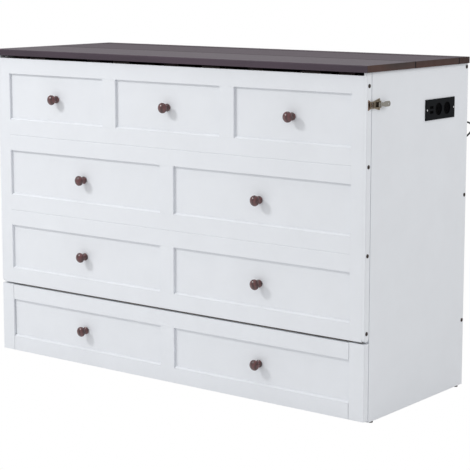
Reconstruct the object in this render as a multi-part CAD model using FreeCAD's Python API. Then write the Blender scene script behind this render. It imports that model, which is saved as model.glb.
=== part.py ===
"""A queen cabinet bed: a cabinet whose front panel folds down and whose lid folds out onto the
rolling drawer unit, so that the three together carry a folding mattress. Millimetres.

While it is modelled, Z is up from the floor, X runs across the cabinet from its middle, and Y runs
back from the front face. Every piece is moved at the end, so that the origin is the middle of the
footprint, on the floor."""

import FreeCAD
import Part
import math
import os

V = FreeCAD.Vector

# ---------------------------------------------------------------- driving dimensions: the mattress
MATTRESS_WIDTH = 1524.0
MATTRESS_LENGTH = 2032.0
MATTRESS_THICKNESS = 150.0
MATTRESS_SECTIONS = ("head", "middle", "foot")
MATTRESS_SIDE_CLEARANCE = 32.0
MATTRESS_FRONT_CLEARANCE = 49.0  # behind the front panel
MATTRESS_SECTION_GAP = 1.0
MATTRESS_ROUND = 25.0

# ---------------------------------------------------------------- the cabinet
SIDE_THICKNESS = 22.0
SIDE_DEPTH = 602.0
SIDE_EDGE_ROUND = 1.5
SIDE_SETBACK = 2.0  # from the front panel's inner face to the side panels' front edges
GLIDE_HEIGHT = 6.0
GLIDE_RADIUS = 9.0
GLIDE_INSET = 28.0
BACK_THICKNESS = 22.0
BACK_MEMBER_WIDTH = 60.0
DECK_RAIL_DROP = 51.5  # from the fixed deck's top to the underside of the back rail that carries it
BACK_PANEL_THICKNESS = 6.0
BACK_PANEL_INSET = 6.0
TONGUE = 8.0  # how far a panel enters the groove round it

# ---------------------------------------------------------------- the front panel and its rows
PANEL_THICKNESS = 26.0
PANEL_DECK_THICKNESS = 6.0
END_BOARD_THICKNESS = 12.0
STILE_WIDTH = 58.0  # as it shows, end board included
MID_STILE_WIDTH = 60.0
RAIL_HEIGHT = 57.0
ROW_OPENINGS = (165.0, 168.0, 171.0)  # heights of the recesses, from the lowest row up
RECESS_DEPTH = 9.0
RECESS_PANEL_THICKNESS = 6.0
ROW_CHAMFER = 1.5
CORNER_ROUND = 3.0
HEEL_ROUND = 4.0
UPPER_ROW_COUNT = 3
LOWER_ROW_COUNT = 2
LID_GAP = 10.5  # between the front panel's top edge and the lid
END_BOARD_CLEARANCE = 1.0

# ---------------------------------------------------------------- the lid
LID_THICKNESS = 22.0
LID_SIDE_OVERHANG = 8.0
LID_FRONT_OVERHANG = 12.0
LID_REAR_SETBACK = 6.0
PLANK_WIDTH = 282.0
PLANK_CHAMFER = 2.0
LID_BATTEN_WIDTH = 60.0
LID_BATTEN_COUNT = 5
LID_BATTEN_INSET = 30.0
LID_DECK_THICKNESS = 6.0
LID_DECK_SIDE_CLEARANCE = 14.0
LID_DECK_CLEARANCE = 4.0  # behind the front panel
LID_DECK_REAR_CLEARANCE = 8.0

# ---------------------------------------------------------------- hinges between panel and lid
HINGE_LENGTH = 75.0
HINGE_SPACING_INNER = 400.0
HINGE_SPACING_OUTER = 1210.0
HINGE_LEAF_THICKNESS = 2.0
HINGE_LEAF_WIDTH = 20.0
HINGE_BARREL_RADIUS = 4.2
HINGE_PIN_RADIUS = 2.0
HINGE_KNUCKLES = 5
KNUCKLE_CLEARANCE = 0.2

# ---------------------------------------------------------------- pivots of the front panel
PIVOT_PIN_RADIUS = 4.0
PIVOT_PIN_END = 3.0  # wood left outside the pin's end
BRACKET_THICKNESS = 5.0
BRACKET_HALF_HEIGHT = 9.0
BRACKET_REACH = 50.0  # along the side panel
POCKET_CLEARANCE = 0.5
POCKET_DEPTH_CLEARANCE = 4.0  # beside the bracket's inner face
RUNNING_CLEARANCE = 0.05

# ---------------------------------------------------------------- the fixed deck
SLAT_THICKNESS = 12.0
SLAT_COUNT = 8
SLAT_WIDTH = 62.0
SLAT_FRONT_CLEARANCE = 7.0
SLAT_SIDE_CLEARANCE = 8.0
SLAT_REAR_CLEARANCE = 4.0
CLEAT_WIDTH = 20.0
CLEAT_HEIGHT = 22.0
BEARER_WIDTH = 22.0
BEARER_CLEARANCE = 7.0  # over the drawer unit's deck
BEARER_SPACING = 400.0
STRETCHER_DEPTH = 22.0
STRETCHER_HEIGHT = 26.0
STRETCHER_CLEARANCE = 3.0  # over the drawer unit's deck

# ---------------------------------------------------------------- the drawer unit
UNIT_GAP = 5.5  # under the front panel
UNIT_FLOOR_GAP = 13.0
UNIT_HEIGHT = 253.0
UNIT_STILE_DEPTH = 26.0
UNIT_DECK_DROP = 23.0
UNIT_DECK_THICKNESS = 12.0
UNIT_REAR_CLEARANCE = 10.0  # to the cabinet's back
UNIT_BOARD_THICKNESS = 18.0
UNIT_BOARD_CLEARANCE = 1.0  # side boards stand this much inside the stiles' inner edges
UNIT_RAIL_DEPTH = 22.0
UNIT_RAIL_HEIGHT = 25.0
UNIT_BEARER_HEIGHT = 25.0
WHEEL_RADIUS = 20.0
WHEEL_WIDTH = 12.0
WHEEL_TREAD_ROUND = 2.0
FORK_THICKNESS = 2.0
FORK_CLEARANCE = 0.5
FORK_HEADROOM = 3.0  # over the wheel
FORK_LENGTH = 50.0
AXLE_RADIUS = 3.0
CASTER_INSET = 60.0

# ---------------------------------------------------------------- the drawer
DRAWER_TOP_GAP = 1.5
DRAWER_SIDE_GAP = 1.5
DRAWER_TOP_RAIL = 55.0
DRAWER_BOTTOM_RAIL = 53.0
DRAWER_FRONT_THICKNESS = 20.0
BOX_THICKNESS = 12.0
BOX_REAR_CLEARANCE = 20.0  # to the unit's back board
BOX_TOP_CLEARANCE = 8.0  # under the unit's bearer
BOX_FLOOR_CLEARANCE = 3.0  # over the unit's low rails
BOX_FLOOR_THICKNESS = 6.0
BOX_FLOOR_RAISE = 6.0
END_BATTEN_WIDTH = 16.0
RUNNER_SPACE = 13.0
RUNNER_HALF_HEIGHT = 22.5
RUNNER_SHEET = 1.5
RUNNER_GAP = 0.3
RUNNER_FLANGE = 8.0
RUNNER_REAR_SETBACK = 28.0  # from the box's back
RUNNER_FRONT_SETBACK = 6.0  # from the unit's stiles

# ---------------------------------------------------------------- knobs
KNOB_RADIUS = 17.5
KNOB_HALF_DEPTH = 12.0
KNOB_CROWN_RADIUS = 22.0
KNOB_CENTRE = 28.0  # from the face it stands on
KNOB_NECK_RADIUS = 8.5
KNOB_WAIST_RADIUS = 7.5
KNOB_BASE_RADIUS = 13.5
KNOB_BASE_THICKNESS = 6.5
KNOB_BASE_ROUND = 1.5  # how far its rim bulges

# ---------------------------------------------------------------- connector bolts
BOLT_HEAD_RADIUS = 6.5
BOLT_HEAD_THICKNESS = 1.2
BOLT_SHANK_RADIUS = 3.5
BOLT_SOCKET_RADIUS = 2.6
BOLT_SOCKET_DEPTH = 1.0
CABINET_BOLT_RISE = 230.0  # of the lowest, above the side's bottom
CABINET_BOLT_DROP = 12.0  # of the highest, below the side's top
PANEL_BOLT_DROP = 31.5  # of the highest, below the front panel's top
PANEL_BOLT_DEPTH = 11.0  # behind the front face
BOLT_END_WALL = 2.0  # of wood left past the shank

# ---------------------------------------------------------------- draw latches
LATCH_DROP = 91.5  # from the front panel's top edge to the latch's middle
LATCH_SHEET = 1.6
STRIKE_START = 4.0
STRIKE_SHOULDER = 4.0  # length of its full height
STRIKE_LENGTH = 19.0
STRIKE_HALF_HEIGHT = 16.0
STRIKE_WAIST_HALF_HEIGHT = 7.5
LIP_START = 14.0
LIP_THICKNESS = 2.0
LIP_HEIGHT = 8.0
LIP_HALF_WIDTH = 6.5
BASE_START = 30.0
BASE_LENGTH = 41.0
BASE_FRONT_HALF_HEIGHT = 9.5
BASE_HALF_HEIGHT = 19.5
BASE_ROUND = 3.0
LATCH_SCREW_RADIUS = 2.4
LATCH_SCREW_HEIGHT = 0.8
STRIKE_SCREW_PLACE = (4.5, 11.0)  # behind the strike's front edge, and off its middle
BASE_SCREW_PLACE = (35.5, 14.5)  # behind the base's front edge, and off its middle
LEVER_PIVOT = 58.0
LEVER_PIVOT_OUT = 8.0
LEVER_PIN_RADIUS = 1.5
EAR_INNER = 6.6
EAR_RADIUS = 5.0
EAR_THICKNESS = 1.4
LEVER_HALF_WIDTH = 6.3
LEVER_HUB_RADIUS = 4.8
LEVER_NOSE = 2.0  # how far the lever's plate reaches in front of its pivot
LEVER_TAIL_HALF_WIDTH = 8.7
LEVER_TAIL_START = 76.0
LEVER_TAIL_FLARE = 8.0  # length over which the tail widens
LEVER_END = 113.0
LEVER_HOLE_RADIUS = 3.0
LEVER_SHEET = 2.0
LEVER_RISE = 4.0  # from the pivot to the underside of the lever's plate
BAIL_PIN = 68.0
BAIL_PIN_OUT = 5.0
BAIL_PIN_RADIUS = 1.3
BAIL_EYE_RADIUS = 3.0
BAIL_ARM_INNER = 8.3
BAIL_ARM_OUTER = 11.3
BAIL_SHEET = 2.0
BAIL_BAR_LENGTH = 4.0
BAIL_BAR_CLEARANCE = 0.6
BAIL_WINDOW_LENGTH = 13.0
BAIL_WEB_LENGTH = 14.0
CHEEK_THICKNESS = 1.6

# ---------------------------------------------------------------- the power outlet
OUTLET_REAR_INSET = 94.0  # from the side panel's rear edge
OUTLET_LENGTH = 188.0
OUTLET_HEIGHT = 69.0
OUTLET_DROP = 142.5  # from the lid to the plate's middle
OUTLET_PLATE_THICKNESS = 4.0
OUTLET_EDGE_ROUND = 2.0
HOUSING_MARGIN = 6.0
HOUSING_END_MARGIN = 17.0
HOUSING_DEPTH = 40.0
CUTOUT_CLEARANCE = 0.5
RECEPTACLE_RADIUS = 21.0
INSERT_FRONT_CLEARANCE = 7.0  # from the housing's front end to the ports
INSERT_REAR_CLEARANCE = 14.0  # from its rear end to the rear receptacle
RECEPTACLE_RECESS = 2.0
RECEPTACLE_THICKNESS = 3.5
SLOT_WIDTHS = (2.2, 2.2)
SLOT_HEIGHTS = (8.0, 6.5)
SLOT_OFFSET = 6.4
GROUND_RADIUS = 2.5
GROUND_DROP = 9.0
USB_OFFSETS = (-8.0, 8.0)
USB_LENGTH = 24.0
USB_HEIGHT = 10.0
USB_SLOT_LENGTH = 13.0
USB_SLOT_HEIGHT = 5.0
USB_SLOT_DEPTH = 2.5
USB_TONGUE_CLEARANCE = 1.0
OUTLET_SCREW_INSET = 8.0
OUTLET_SCREW_RADIUS = 3.2
OUTLET_SCREW_HEIGHT = 1.5
OUTLET_SCREW_SINK = 1.0

# ---------------------------------------------------------------- the cord
CORD_DIAMETER = 6.0
CORD_DROP = 208.0  # from the lid
CORD_INSET = 12.0  # from the side panel's inner face
RELIEF_LENGTH = 30.0
RELIEF_FLANGE_RADIUS = 9.0
RELIEF_FLANGE_THICKNESS = 3.0
RELIEF_ROOT_RADIUS = 6.5
RELIEF_TIP_RADIUS = 4.0
RELIEF_HOLE_RADIUS = 6.0
ARC_SHARE = 0.45  # of the shorter run, taken up by each arc
FLOOR_CLEARANCE = 0.3
COIL_OFFSET = 142.0  # of its middle, sideways from the cord's exit
COIL_REACH = 85.0  # of its middle, behind the cabinet
COIL_OUTER_RADIUS = 38.4  # at the middle of the outermost turn
COIL_PITCH = 6.6  # from turn to turn, and from layer to layer
COIL_LAYER_TURNS = 1.75
PLUG_WIDTH = 26.0
PLUG_LENGTH = 34.0
PLUG_NECK_LENGTH = 30.0
PLUG_NECK_TIP_RADIUS = 3.2
PLUG_NECK_ROOT_RADIUS = 5.5
PLUG_ROUND = 4.0
PRONG_LENGTH = 17.0
PRONG_WIDTH = 6.4
PRONG_THICKNESS = 1.5
PRONG_SPACING = 12.7
EARTH_PRONG_RADIUS = 2.4

# ---------------------------------------------------------------- worked out from the above
HALF_WIDTH = MATTRESS_WIDTH / 2 + MATTRESS_SIDE_CLEARANCE + SIDE_THICKNESS
INNER_HALF = HALF_WIDTH - SIDE_THICKNESS
SIDE_FRONT = PANEL_THICKNESS + SIDE_SETBACK
CABINET_REAR = SIDE_FRONT + SIDE_DEPTH
BACK_FRONT = CABINET_REAR - BACK_THICKNESS

UNIT_TOP = UNIT_FLOOR_GAP + UNIT_HEIGHT
PANEL_BOTTOM = UNIT_TOP + UNIT_GAP
PANEL_TOP = PANEL_BOTTOM + sum(ROW_OPENINGS) + 2 * len(ROW_OPENINGS) * RAIL_HEIGHT
LID_BOTTOM = PANEL_TOP + LID_GAP
LID_TOP = LID_BOTTOM + LID_THICKNESS
SIDE_BOTTOM = GLIDE_HEIGHT
SIDE_TOP = LID_BOTTOM
PANEL_INNER_HALF = HALF_WIDTH - END_BOARD_THICKNESS
FRAME_THICKNESS = PANEL_THICKNESS - PANEL_DECK_THICKNESS
OPENING_HALF = HALF_WIDTH - STILE_WIDTH
PIVOT_Y = PANEL_THICKNESS / 2
PIVOT_Z = PANEL_BOTTOM + PANEL_THICKNESS / 2
HINGE_Z = PANEL_TOP + LID_GAP / 2
# when folded out, the lid's underside faces up this far below the folded panel's upper face
FOLD_STEP = PANEL_THICKNESS + LID_GAP / 2
LID_BATTEN_THICKNESS = FOLD_STEP - LID_DECK_THICKNESS
DECK_TOP = PIVOT_Z + PANEL_THICKNESS / 2

UNIT_DECK_TOP = UNIT_TOP - UNIT_DECK_DROP
UNIT_DECK_BOTTOM = UNIT_DECK_TOP - UNIT_DECK_THICKNESS
UNIT_REAR = BACK_FRONT - UNIT_REAR_CLEARANCE
UNIT_BOARD_INNER = OPENING_HALF - UNIT_BOARD_CLEARANCE
UNIT_BOARD_BOTTOM = 2 * WHEEL_RADIUS + FORK_HEADROOM + FORK_THICKNESS
UNIT_HALF = UNIT_BOARD_INNER + UNIT_BOARD_THICKNESS
BOX_HALF = UNIT_BOARD_INNER - RUNNER_SPACE
BOX_REAR = UNIT_REAR - UNIT_BOARD_THICKNESS - BOX_REAR_CLEARANCE
BOX_BOTTOM = UNIT_BOARD_BOTTOM + BOX_FLOOR_CLEARANCE
BOX_TOP = UNIT_DECK_BOTTOM - UNIT_BEARER_HEIGHT - BOX_TOP_CLEARANCE
DRAWER_HALF = OPENING_HALF - DRAWER_SIDE_GAP
DRAWER_TOP = UNIT_TOP - DRAWER_TOP_GAP
DRAWER_BOTTOM = UNIT_FLOOR_GAP

KNOB_FACE = RECESS_DEPTH
FOOTPRINT_MIDDLE = (CABINET_REAR + KNOB_FACE - KNOB_CENTRE - KNOB_HALF_DEPTH) / 2
LATCH_HEIGHT = PANEL_TOP - LATCH_DROP
OUTLET_START = CABINET_REAR - OUTLET_REAR_INSET - OUTLET_LENGTH
OUTLET_MIDDLE_Y = OUTLET_START + OUTLET_LENGTH / 2
OUTLET_MIDDLE_Z = LID_BOTTOM - OUTLET_DROP
CORD_X = INNER_HALF - CORD_INSET
CORD_HEIGHT = LID_BOTTOM - CORD_DROP
COIL_X = CORD_X - COIL_OFFSET
COIL_Y = CABINET_REAR + COIL_REACH


# ---------------------------------------------------------------- small tools
def block(x0, x1, y0, y1, z0, z1):
    return Part.makeBox(x1 - x0, y1 - y0, z1 - z0, V(x0, y0, z0))


def rod(radius, length, start, direction):
    return Part.makeCylinder(radius, length, V(*start), V(*direction))


def plate(points, direction, thickness):
    """A flat solid: the closed outline through points, drawn out along direction."""
    corners = [V(*p) for p in points]
    face = Part.Face(Part.makePolygon(corners + corners[:1]))
    return face.extrude(V(*direction) * thickness)


def joined(first, *others):
    shape = first
    for other in others:
        shape = shape.fuse(other)
    return shape.removeSplitter()


def mirrored(shape):
    return shape.mirror(V(0, 0, 0), V(1, 0, 0))


def pair(shape):
    """The right-hand piece and its mirror image on the left."""
    return [shape, mirrored(shape)]


def fillet(shape, radius, chosen):
    edges = [e for e in shape.Edges if chosen(e.BoundBox)]
    return shape.makeFillet(radius, edges)


def near(a, b):
    return abs(a - b) < 1e-4


def save(name, *shapes):
    """Writes one node, as one solid or a group of separate ones, moved to the final frame."""
    solids = [s for shape in shapes for s in shape.Solids]
    whole = solids[0] if len(solids) == 1 else Part.makeCompound(solids)
    whole = whole.copy()
    whole.translate(V(0, -FOOTPRINT_MIDDLE, 0))
    whole.exportStep("parts/" + name + ".step")


def row_columns(count):
    """The left and right edges of the recesses in a row, between the stiles."""
    width = (2 * OPENING_HALF - (count - 1) * MID_STILE_WIDTH) / count
    starts = [-OPENING_HALF + i * (width + MID_STILE_WIDTH) for i in range(count)]
    return [(x, x + width) for x in starts]


# ---------------------------------------------------------------- the cabinet
def bolt(y, z, shank):
    """A connector bolt in the right-hand side face, with a hexagon socket."""
    head = rod(BOLT_HEAD_RADIUS, BOLT_HEAD_THICKNESS, (HALF_WIDTH, y, z), (1, 0, 0))
    face = HALF_WIDTH + BOLT_HEAD_THICKNESS
    corners = [
        (face - BOLT_SOCKET_DEPTH, y + BOLT_SOCKET_RADIUS * math.cos(a), z + BOLT_SOCKET_RADIUS * math.sin(a))
        for a in (math.radians(60 * i) for i in range(6))
    ]
    socket = plate(corners, (1, 0, 0), BOLT_SOCKET_DEPTH)
    shaft = rod(BOLT_SHANK_RADIUS, shank, (HALF_WIDTH - shank, y, z), (1, 0, 0))
    return joined(head, shaft).cut(socket)


def bolt_hole(y, z, shank):
    return rod(BOLT_SHANK_RADIUS, shank, (HALF_WIDTH - shank, y, z), (1, 0, 0))


CABINET_BOLT_Y = CABINET_REAR - BACK_THICKNESS / 2
CABINET_BOLT_SHANK = SIDE_THICKNESS - BOLT_END_WALL


def cabinet_bolt_heights():
    """One bolt low down, one near the lid, and one midway."""
    low, high = SIDE_BOTTOM + CABINET_BOLT_RISE, SIDE_TOP - CABINET_BOLT_DROP
    return [low, (low + high) / 2, high]


def side_panel():
    """The right-hand side panel, without the outlet's cut-out."""
    board = block(INNER_HALF, HALF_WIDTH, SIDE_FRONT, CABINET_REAR, SIDE_BOTTOM, SIDE_TOP)
    board = fillet(
        board,
        SIDE_EDGE_ROUND,
        lambda b: near(b.XMin, HALF_WIDTH) and near(b.YLength, 0) and b.ZLength > SIDE_THICKNESS,
    )
    for z in cabinet_bolt_heights():
        board = board.cut(bolt_hole(CABINET_BOLT_Y, z, CABINET_BOLT_SHANK))
    return board


HOUSING_HALF_LENGTH = OUTLET_LENGTH / 2 - HOUSING_END_MARGIN
HOUSING_HALF_HEIGHT = OUTLET_HEIGHT / 2 - HOUSING_MARGIN


def outlet_cutout():
    return block(
        INNER_HALF - 1,
        HALF_WIDTH + 1,
        OUTLET_MIDDLE_Y - HOUSING_HALF_LENGTH - CUTOUT_CLEARANCE,
        OUTLET_MIDDLE_Y + HOUSING_HALF_LENGTH + CUTOUT_CLEARANCE,
        OUTLET_MIDDLE_Z - HOUSING_HALF_HEIGHT - CUTOUT_CLEARANCE,
        OUTLET_MIDDLE_Z + HOUSING_HALF_HEIGHT + CUTOUT_CLEARANCE,
    )


def back_rails():
    """Undersides and tops of the back's rails, from the lowest up."""
    deck_rail = DECK_TOP - DECK_RAIL_DROP
    top_rail = SIDE_TOP - BACK_MEMBER_WIDTH
    levels = [SIDE_BOTTOM, deck_rail, (deck_rail + top_rail) / 2, top_rail]
    return [(z, z + BACK_MEMBER_WIDTH) for z in levels]


def build_cabinet():
    right = side_panel()
    save("side_panel_left", mirrored(right))
    save("side_panel_right", right.cut(outlet_cutout()))
    bolts = [bolt(CABINET_BOLT_Y, z, CABINET_BOLT_SHANK) for z in cabinet_bolt_heights()]
    save("cabinet_bolts", *[s for b in bolts for s in pair(b)])

    stile_inner = INNER_HALF - BACK_MEMBER_WIDTH
    panel_front = CABINET_REAR - BACK_PANEL_INSET - BACK_PANEL_THICKNESS
    rails = back_rails()
    panels = [
        block(
            -stile_inner - TONGUE,
            stile_inner + TONGUE,
            panel_front,
            panel_front + BACK_PANEL_THICKNESS,
            low[1] - TONGUE,
            high[0] + TONGUE,
        )
        for low, high in zip(rails, rails[1:])
    ]
    members = [block(-stile_inner, stile_inner, BACK_FRONT, CABINET_REAR, z0, z1) for z0, z1 in rails]
    stile = block(stile_inner, INNER_HALF, BACK_FRONT, CABINET_REAR, SIDE_BOTTOM, SIDE_TOP)
    members += [stile.cut(relief_sleeve()), mirrored(stile)]
    for panel in panels:
        members = [m.cut(panel) for m in members]
    save("back_frame", *members)
    save("back_panels", *panels)

    glide_x = HALF_WIDTH - SIDE_THICKNESS / 2
    glides = [
        rod(GLIDE_RADIUS, GLIDE_HEIGHT, (glide_x, y, 0), (0, 0, 1))
        for y in (SIDE_FRONT + GLIDE_INSET, CABINET_REAR - GLIDE_INSET)
    ]
    save("cabinet_glides", *[s for g in glides for s in pair(g)])


def build_fixed_deck():
    """Slats on cleats and bearers, level with the folded front panel."""
    front = PANEL_THICKNESS + SLAT_FRONT_CLEARANCE
    rear = BACK_FRONT - SLAT_REAR_CLEARANCE
    under = DECK_TOP - SLAT_THICKNESS
    half = INNER_HALF - SLAT_SIDE_CLEARANCE
    step = (rear - front - SLAT_WIDTH) / (SLAT_COUNT - 1)
    starts = [front + i * step for i in range(SLAT_COUNT)]
    save("deck_slats", *[block(-half, half, y, y + SLAT_WIDTH, under, DECK_TOP) for y in starts])

    cleat_front = SIDE_FRONT + BRACKET_REACH + SLAT_REAR_CLEARANCE
    cleat = block(INNER_HALF - CLEAT_WIDTH, INNER_HALF, cleat_front, rear, under - CLEAT_HEIGHT, under)
    save("deck_cleats", *pair(cleat))

    stretcher_front = front + 1.0
    stretcher_rear = stretcher_front + STRETCHER_DEPTH
    low = UNIT_DECK_TOP + STRETCHER_CLEARANCE
    high = low + STRETCHER_HEIGHT
    save("front_stretcher", block(-INNER_HALF, INNER_HALF, stretcher_front, stretcher_rear, low, high))
    half_bearer = BEARER_WIDTH / 2
    bearer_bottom = UNIT_DECK_TOP + BEARER_CLEARANCE
    bearer = joined(
        block(-half_bearer, half_bearer, stretcher_rear, BACK_FRONT, bearer_bottom, under),
        block(-half_bearer, half_bearer, stretcher_front, stretcher_rear, high, under),
    )
    bearers = []
    for x in (-BEARER_SPACING, 0.0, BEARER_SPACING):
        copy = bearer.copy()
        copy.translate(V(x, 0, 0))
        bearers.append(copy)
    save("deck_bearers", *bearers)


def build_pivot_brackets():
    """Flat steel bars on the side panels' inner faces, each with the pin that carries the panel."""
    x0 = INNER_HALF - BRACKET_THICKNESS
    low = PIVOT_Z - BRACKET_HALF_HEIGHT
    bar = joined(
        block(x0, INNER_HALF, PIVOT_Y, SIDE_FRONT + BRACKET_REACH, low, low + 2 * BRACKET_HALF_HEIGHT),
        rod(BRACKET_HALF_HEIGHT, BRACKET_THICKNESS, (x0, PIVOT_Y, PIVOT_Z), (1, 0, 0)),
    )
    pin_end = HALF_WIDTH - PIVOT_PIN_END
    pin = rod(PIVOT_PIN_RADIUS, pin_end - x0, (x0, PIVOT_Y, PIVOT_Z), (1, 0, 0))
    save("pivot_brackets", *pair(joined(bar, pin)))


# ---------------------------------------------------------------- the front panel
def rail(half_length, depth, z0, z1, chamfered):
    """A rail with its front edges chamfered where another rail meets it."""
    c = ROW_CHAMFER
    low, high = chamfered
    outline = [(-half_length, depth, z0), (-half_length, c if low else 0, z0)]
    if low:
        outline.append((-half_length, 0, z0 + c))
    if high:
        outline.append((-half_length, 0, z1 - c))
    outline += [(-half_length, c if high else 0, z1), (-half_length, depth, z1)]
    return plate(outline, (1, 0, 0), 2 * half_length)


def knob(x, z):
    """A turned knob: a foot, a waist and a ball, turned about the Y axis."""
    neck, centre, foot = KNOB_NECK_RADIUS, KNOB_CENTRE, KNOB_BASE_THICKNESS
    rim = KNOB_BASE_RADIUS - KNOB_BASE_ROUND
    crown, wide = KNOB_CROWN_RADIUS, KNOB_RADIUS
    sink = crown - KNOB_HALF_DEPTH  # from the head's middle to the centre of its crown
    shoulder = (crown**2 - wide**2 - sink**2) / (2 * (crown - wide))
    lean = math.atan2(wide - shoulder, sink)  # of the line from the crown's centre to the shoulder's
    tip = centre + KNOB_HALF_DEPTH

    def at(radius, out):
        return V(radius, -out, 0)

    def on_crown(turn, side):
        """A point of the head's outer or inner crown, turned from the axis."""
        return at(crown * math.sin(turn), centre + side * (crown * math.cos(turn) - sink))

    neck_turn = math.asin(neck / crown)
    meet = centre - (crown * math.cos(neck_turn) - sink)
    waist = foot + (meet - foot) * 2 / 3
    inner, outer = on_crown(lean, -1), on_crown(lean, 1)
    edges = [
        Part.LineSegment(at(0, 0), at(rim, 0)).toShape(),
        Part.Arc(at(rim, 0), at(KNOB_BASE_RADIUS, foot / 2), at(rim, foot)).toShape(),
        Part.Arc(at(rim, foot), at(KNOB_WAIST_RADIUS, waist), at(neck, meet)).toShape(),
        Part.Arc(at(neck, meet), on_crown((neck_turn + lean) / 2, -1), inner).toShape(),
        Part.Arc(inner, at(wide, centre), outer).toShape(),
        Part.Arc(outer, on_crown(lean / 2, 1), at(0, tip)).toShape(),
        Part.LineSegment(at(0, tip), at(0, 0)).toShape(),
    ]
    shape = Part.Face(Part.Wire(edges)).revolve(V(0, 0, 0), V(0, 1, 0), 360)
    shape.translate(V(x, KNOB_FACE, z))
    return shape


def panel_rows():
    """(lower edge of the row, underside of the recess, top of the recess) from the lowest up."""
    rows = []
    z = PANEL_BOTTOM
    for opening in ROW_OPENINGS:
        rows.append((z, z + RAIL_HEIGHT, z + RAIL_HEIGHT + opening))
        z += 2 * RAIL_HEIGHT + opening
    return rows


def row_counts():
    return [LOWER_ROW_COUNT] * (len(ROW_OPENINGS) - 1) + [UPPER_ROW_COUNT]


def recess_panel(x0, x1, z0, z1):
    y0 = RECESS_DEPTH
    return block(x0 - TONGUE, x1 + TONGUE, y0, y0 + RECESS_PANEL_THICKNESS, z0 - TONGUE, z1 + TONGUE)


def rounded_heel(shape):
    """Rounds the lower front edge, which swings down past the drawer unit as the panel folds."""
    return fillet(shape, HEEL_ROUND, lambda b: near(b.YMax, 0) and near(b.ZMax, PANEL_BOTTOM))


def pivot_pocket():
    """Room round the right-hand bracket while the panel turns about its pin."""
    reach = BRACKET_HALF_HEIGHT + POCKET_CLEARANCE
    x0 = INNER_HALF - BRACKET_THICKNESS - POCKET_DEPTH_CLEARANCE
    y0, y1 = PIVOT_Y - reach, PANEL_THICKNESS + 1
    return block(x0, PANEL_INNER_HALF, y0, y1, PANEL_BOTTOM - 1, PIVOT_Z + reach)


def end_board():
    """The right-hand end board: a round heel on the pivot, and a top that reaches to the lid."""
    radius = PANEL_THICKNESS / 2
    top = LID_BOTTOM - END_BOARD_CLEARANCE
    x = PANEL_INNER_HALF
    edges = [
        Part.LineSegment(V(x, 0, PIVOT_Z), V(x, 0, top)).toShape(),
        Part.LineSegment(V(x, 0, top), V(x, PANEL_THICKNESS, top)).toShape(),
        Part.LineSegment(V(x, PANEL_THICKNESS, top), V(x, PANEL_THICKNESS, PIVOT_Z)).toShape(),
        Part.Arc(
            V(x, PANEL_THICKNESS, PIVOT_Z), V(x, radius, PIVOT_Z - radius), V(x, 0, PIVOT_Z)
        ).toShape(),
    ]
    board = Part.Face(Part.Wire(edges)).extrude(V(END_BOARD_THICKNESS, 0, 0))
    board = fillet(
        board,
        CORNER_ROUND,
        lambda b: near(b.XMin, HALF_WIDTH) and near(b.XMax, HALF_WIDTH) and not near(b.ZMin, top),
    )
    hole = rod(
        PIVOT_PIN_RADIUS + RUNNING_CLEARANCE,
        END_BOARD_THICKNESS - PIVOT_PIN_END + RUNNING_CLEARANCE,
        (x, PIVOT_Y, PIVOT_Z),
        (1, 0, 0),
    )
    return board.cut(hole)


def panel_bolt_heights():
    """One bolt at the outermost rails, and one at each joint between two rows."""
    joints = [row[0] for row in panel_rows()[1:]]
    return [PANEL_BOTTOM + RAIL_HEIGHT / 2] + joints + [PANEL_TOP - PANEL_BOLT_DROP]


def build_front_panel():
    rows = panel_rows()
    counts = row_counts()
    recess_panels = []
    rails = []
    mid_stiles = []
    knobs = []
    last = len(rows) - 1
    for i, ((low, z0, z1), count) in enumerate(zip(rows, counts)):
        lower = rail(OPENING_HALF, FRAME_THICKNESS, low, z0, (i > 0, False))
        rails.append(lower if i else rounded_heel(lower))
        rails.append(rail(OPENING_HALF, FRAME_THICKNESS, z1, z1 + RAIL_HEIGHT, (False, i < last)))
        columns = row_columns(count)
        recess_panels += [recess_panel(a, b, z0, z1) for a, b in columns]
        mid_stiles += [
            block(a[1], b[0], 0, FRAME_THICKNESS, z0, z1) for a, b in zip(columns, columns[1:])
        ]
        knobs += [knob((a + b) / 2, (z0 + z1) / 2) for a, b in columns]
    stile = block(OPENING_HALF, PANEL_INNER_HALF, 0, FRAME_THICKNESS, PANEL_BOTTOM, PANEL_TOP)
    stiles = pair(rounded_heel(stile).cut(pivot_pocket()))
    for panel in recess_panels:
        rails = [r.cut(panel) for r in rails]
        mid_stiles = [m.cut(panel) for m in mid_stiles]
        stiles = [s.cut(panel) for s in stiles]
    save("panel_rails", *rails)
    save("panel_mid_stiles", *mid_stiles)
    save("panel_stiles", *stiles)
    save("panel_recess_panels", *recess_panels)
    save("panel_knobs", *knobs)

    half = PANEL_INNER_HALF
    sheet = block(-half, half, FRAME_THICKNESS, PANEL_THICKNESS, PANEL_BOTTOM, PANEL_TOP)
    sheet = fillet(
        sheet,
        HEEL_ROUND,
        lambda b: near(b.YMin, PANEL_THICKNESS) and near(b.ZMax, PANEL_BOTTOM) and b.XLength > half,
    )
    pocket = pivot_pocket()
    save("panel_deck_sheet", sheet.cut(pocket).cut(mirrored(pocket)))

    board = end_board()
    shank = END_BOARD_THICKNESS - BOLT_END_WALL
    bolts = []
    for z in panel_bolt_heights():
        board = board.cut(bolt_hole(PANEL_BOLT_DEPTH, z, shank))
        bolts += pair(bolt(PANEL_BOLT_DEPTH, z, shank))
    save("panel_end_boards", *pair(board))
    save("panel_bolts", *bolts)


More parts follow.
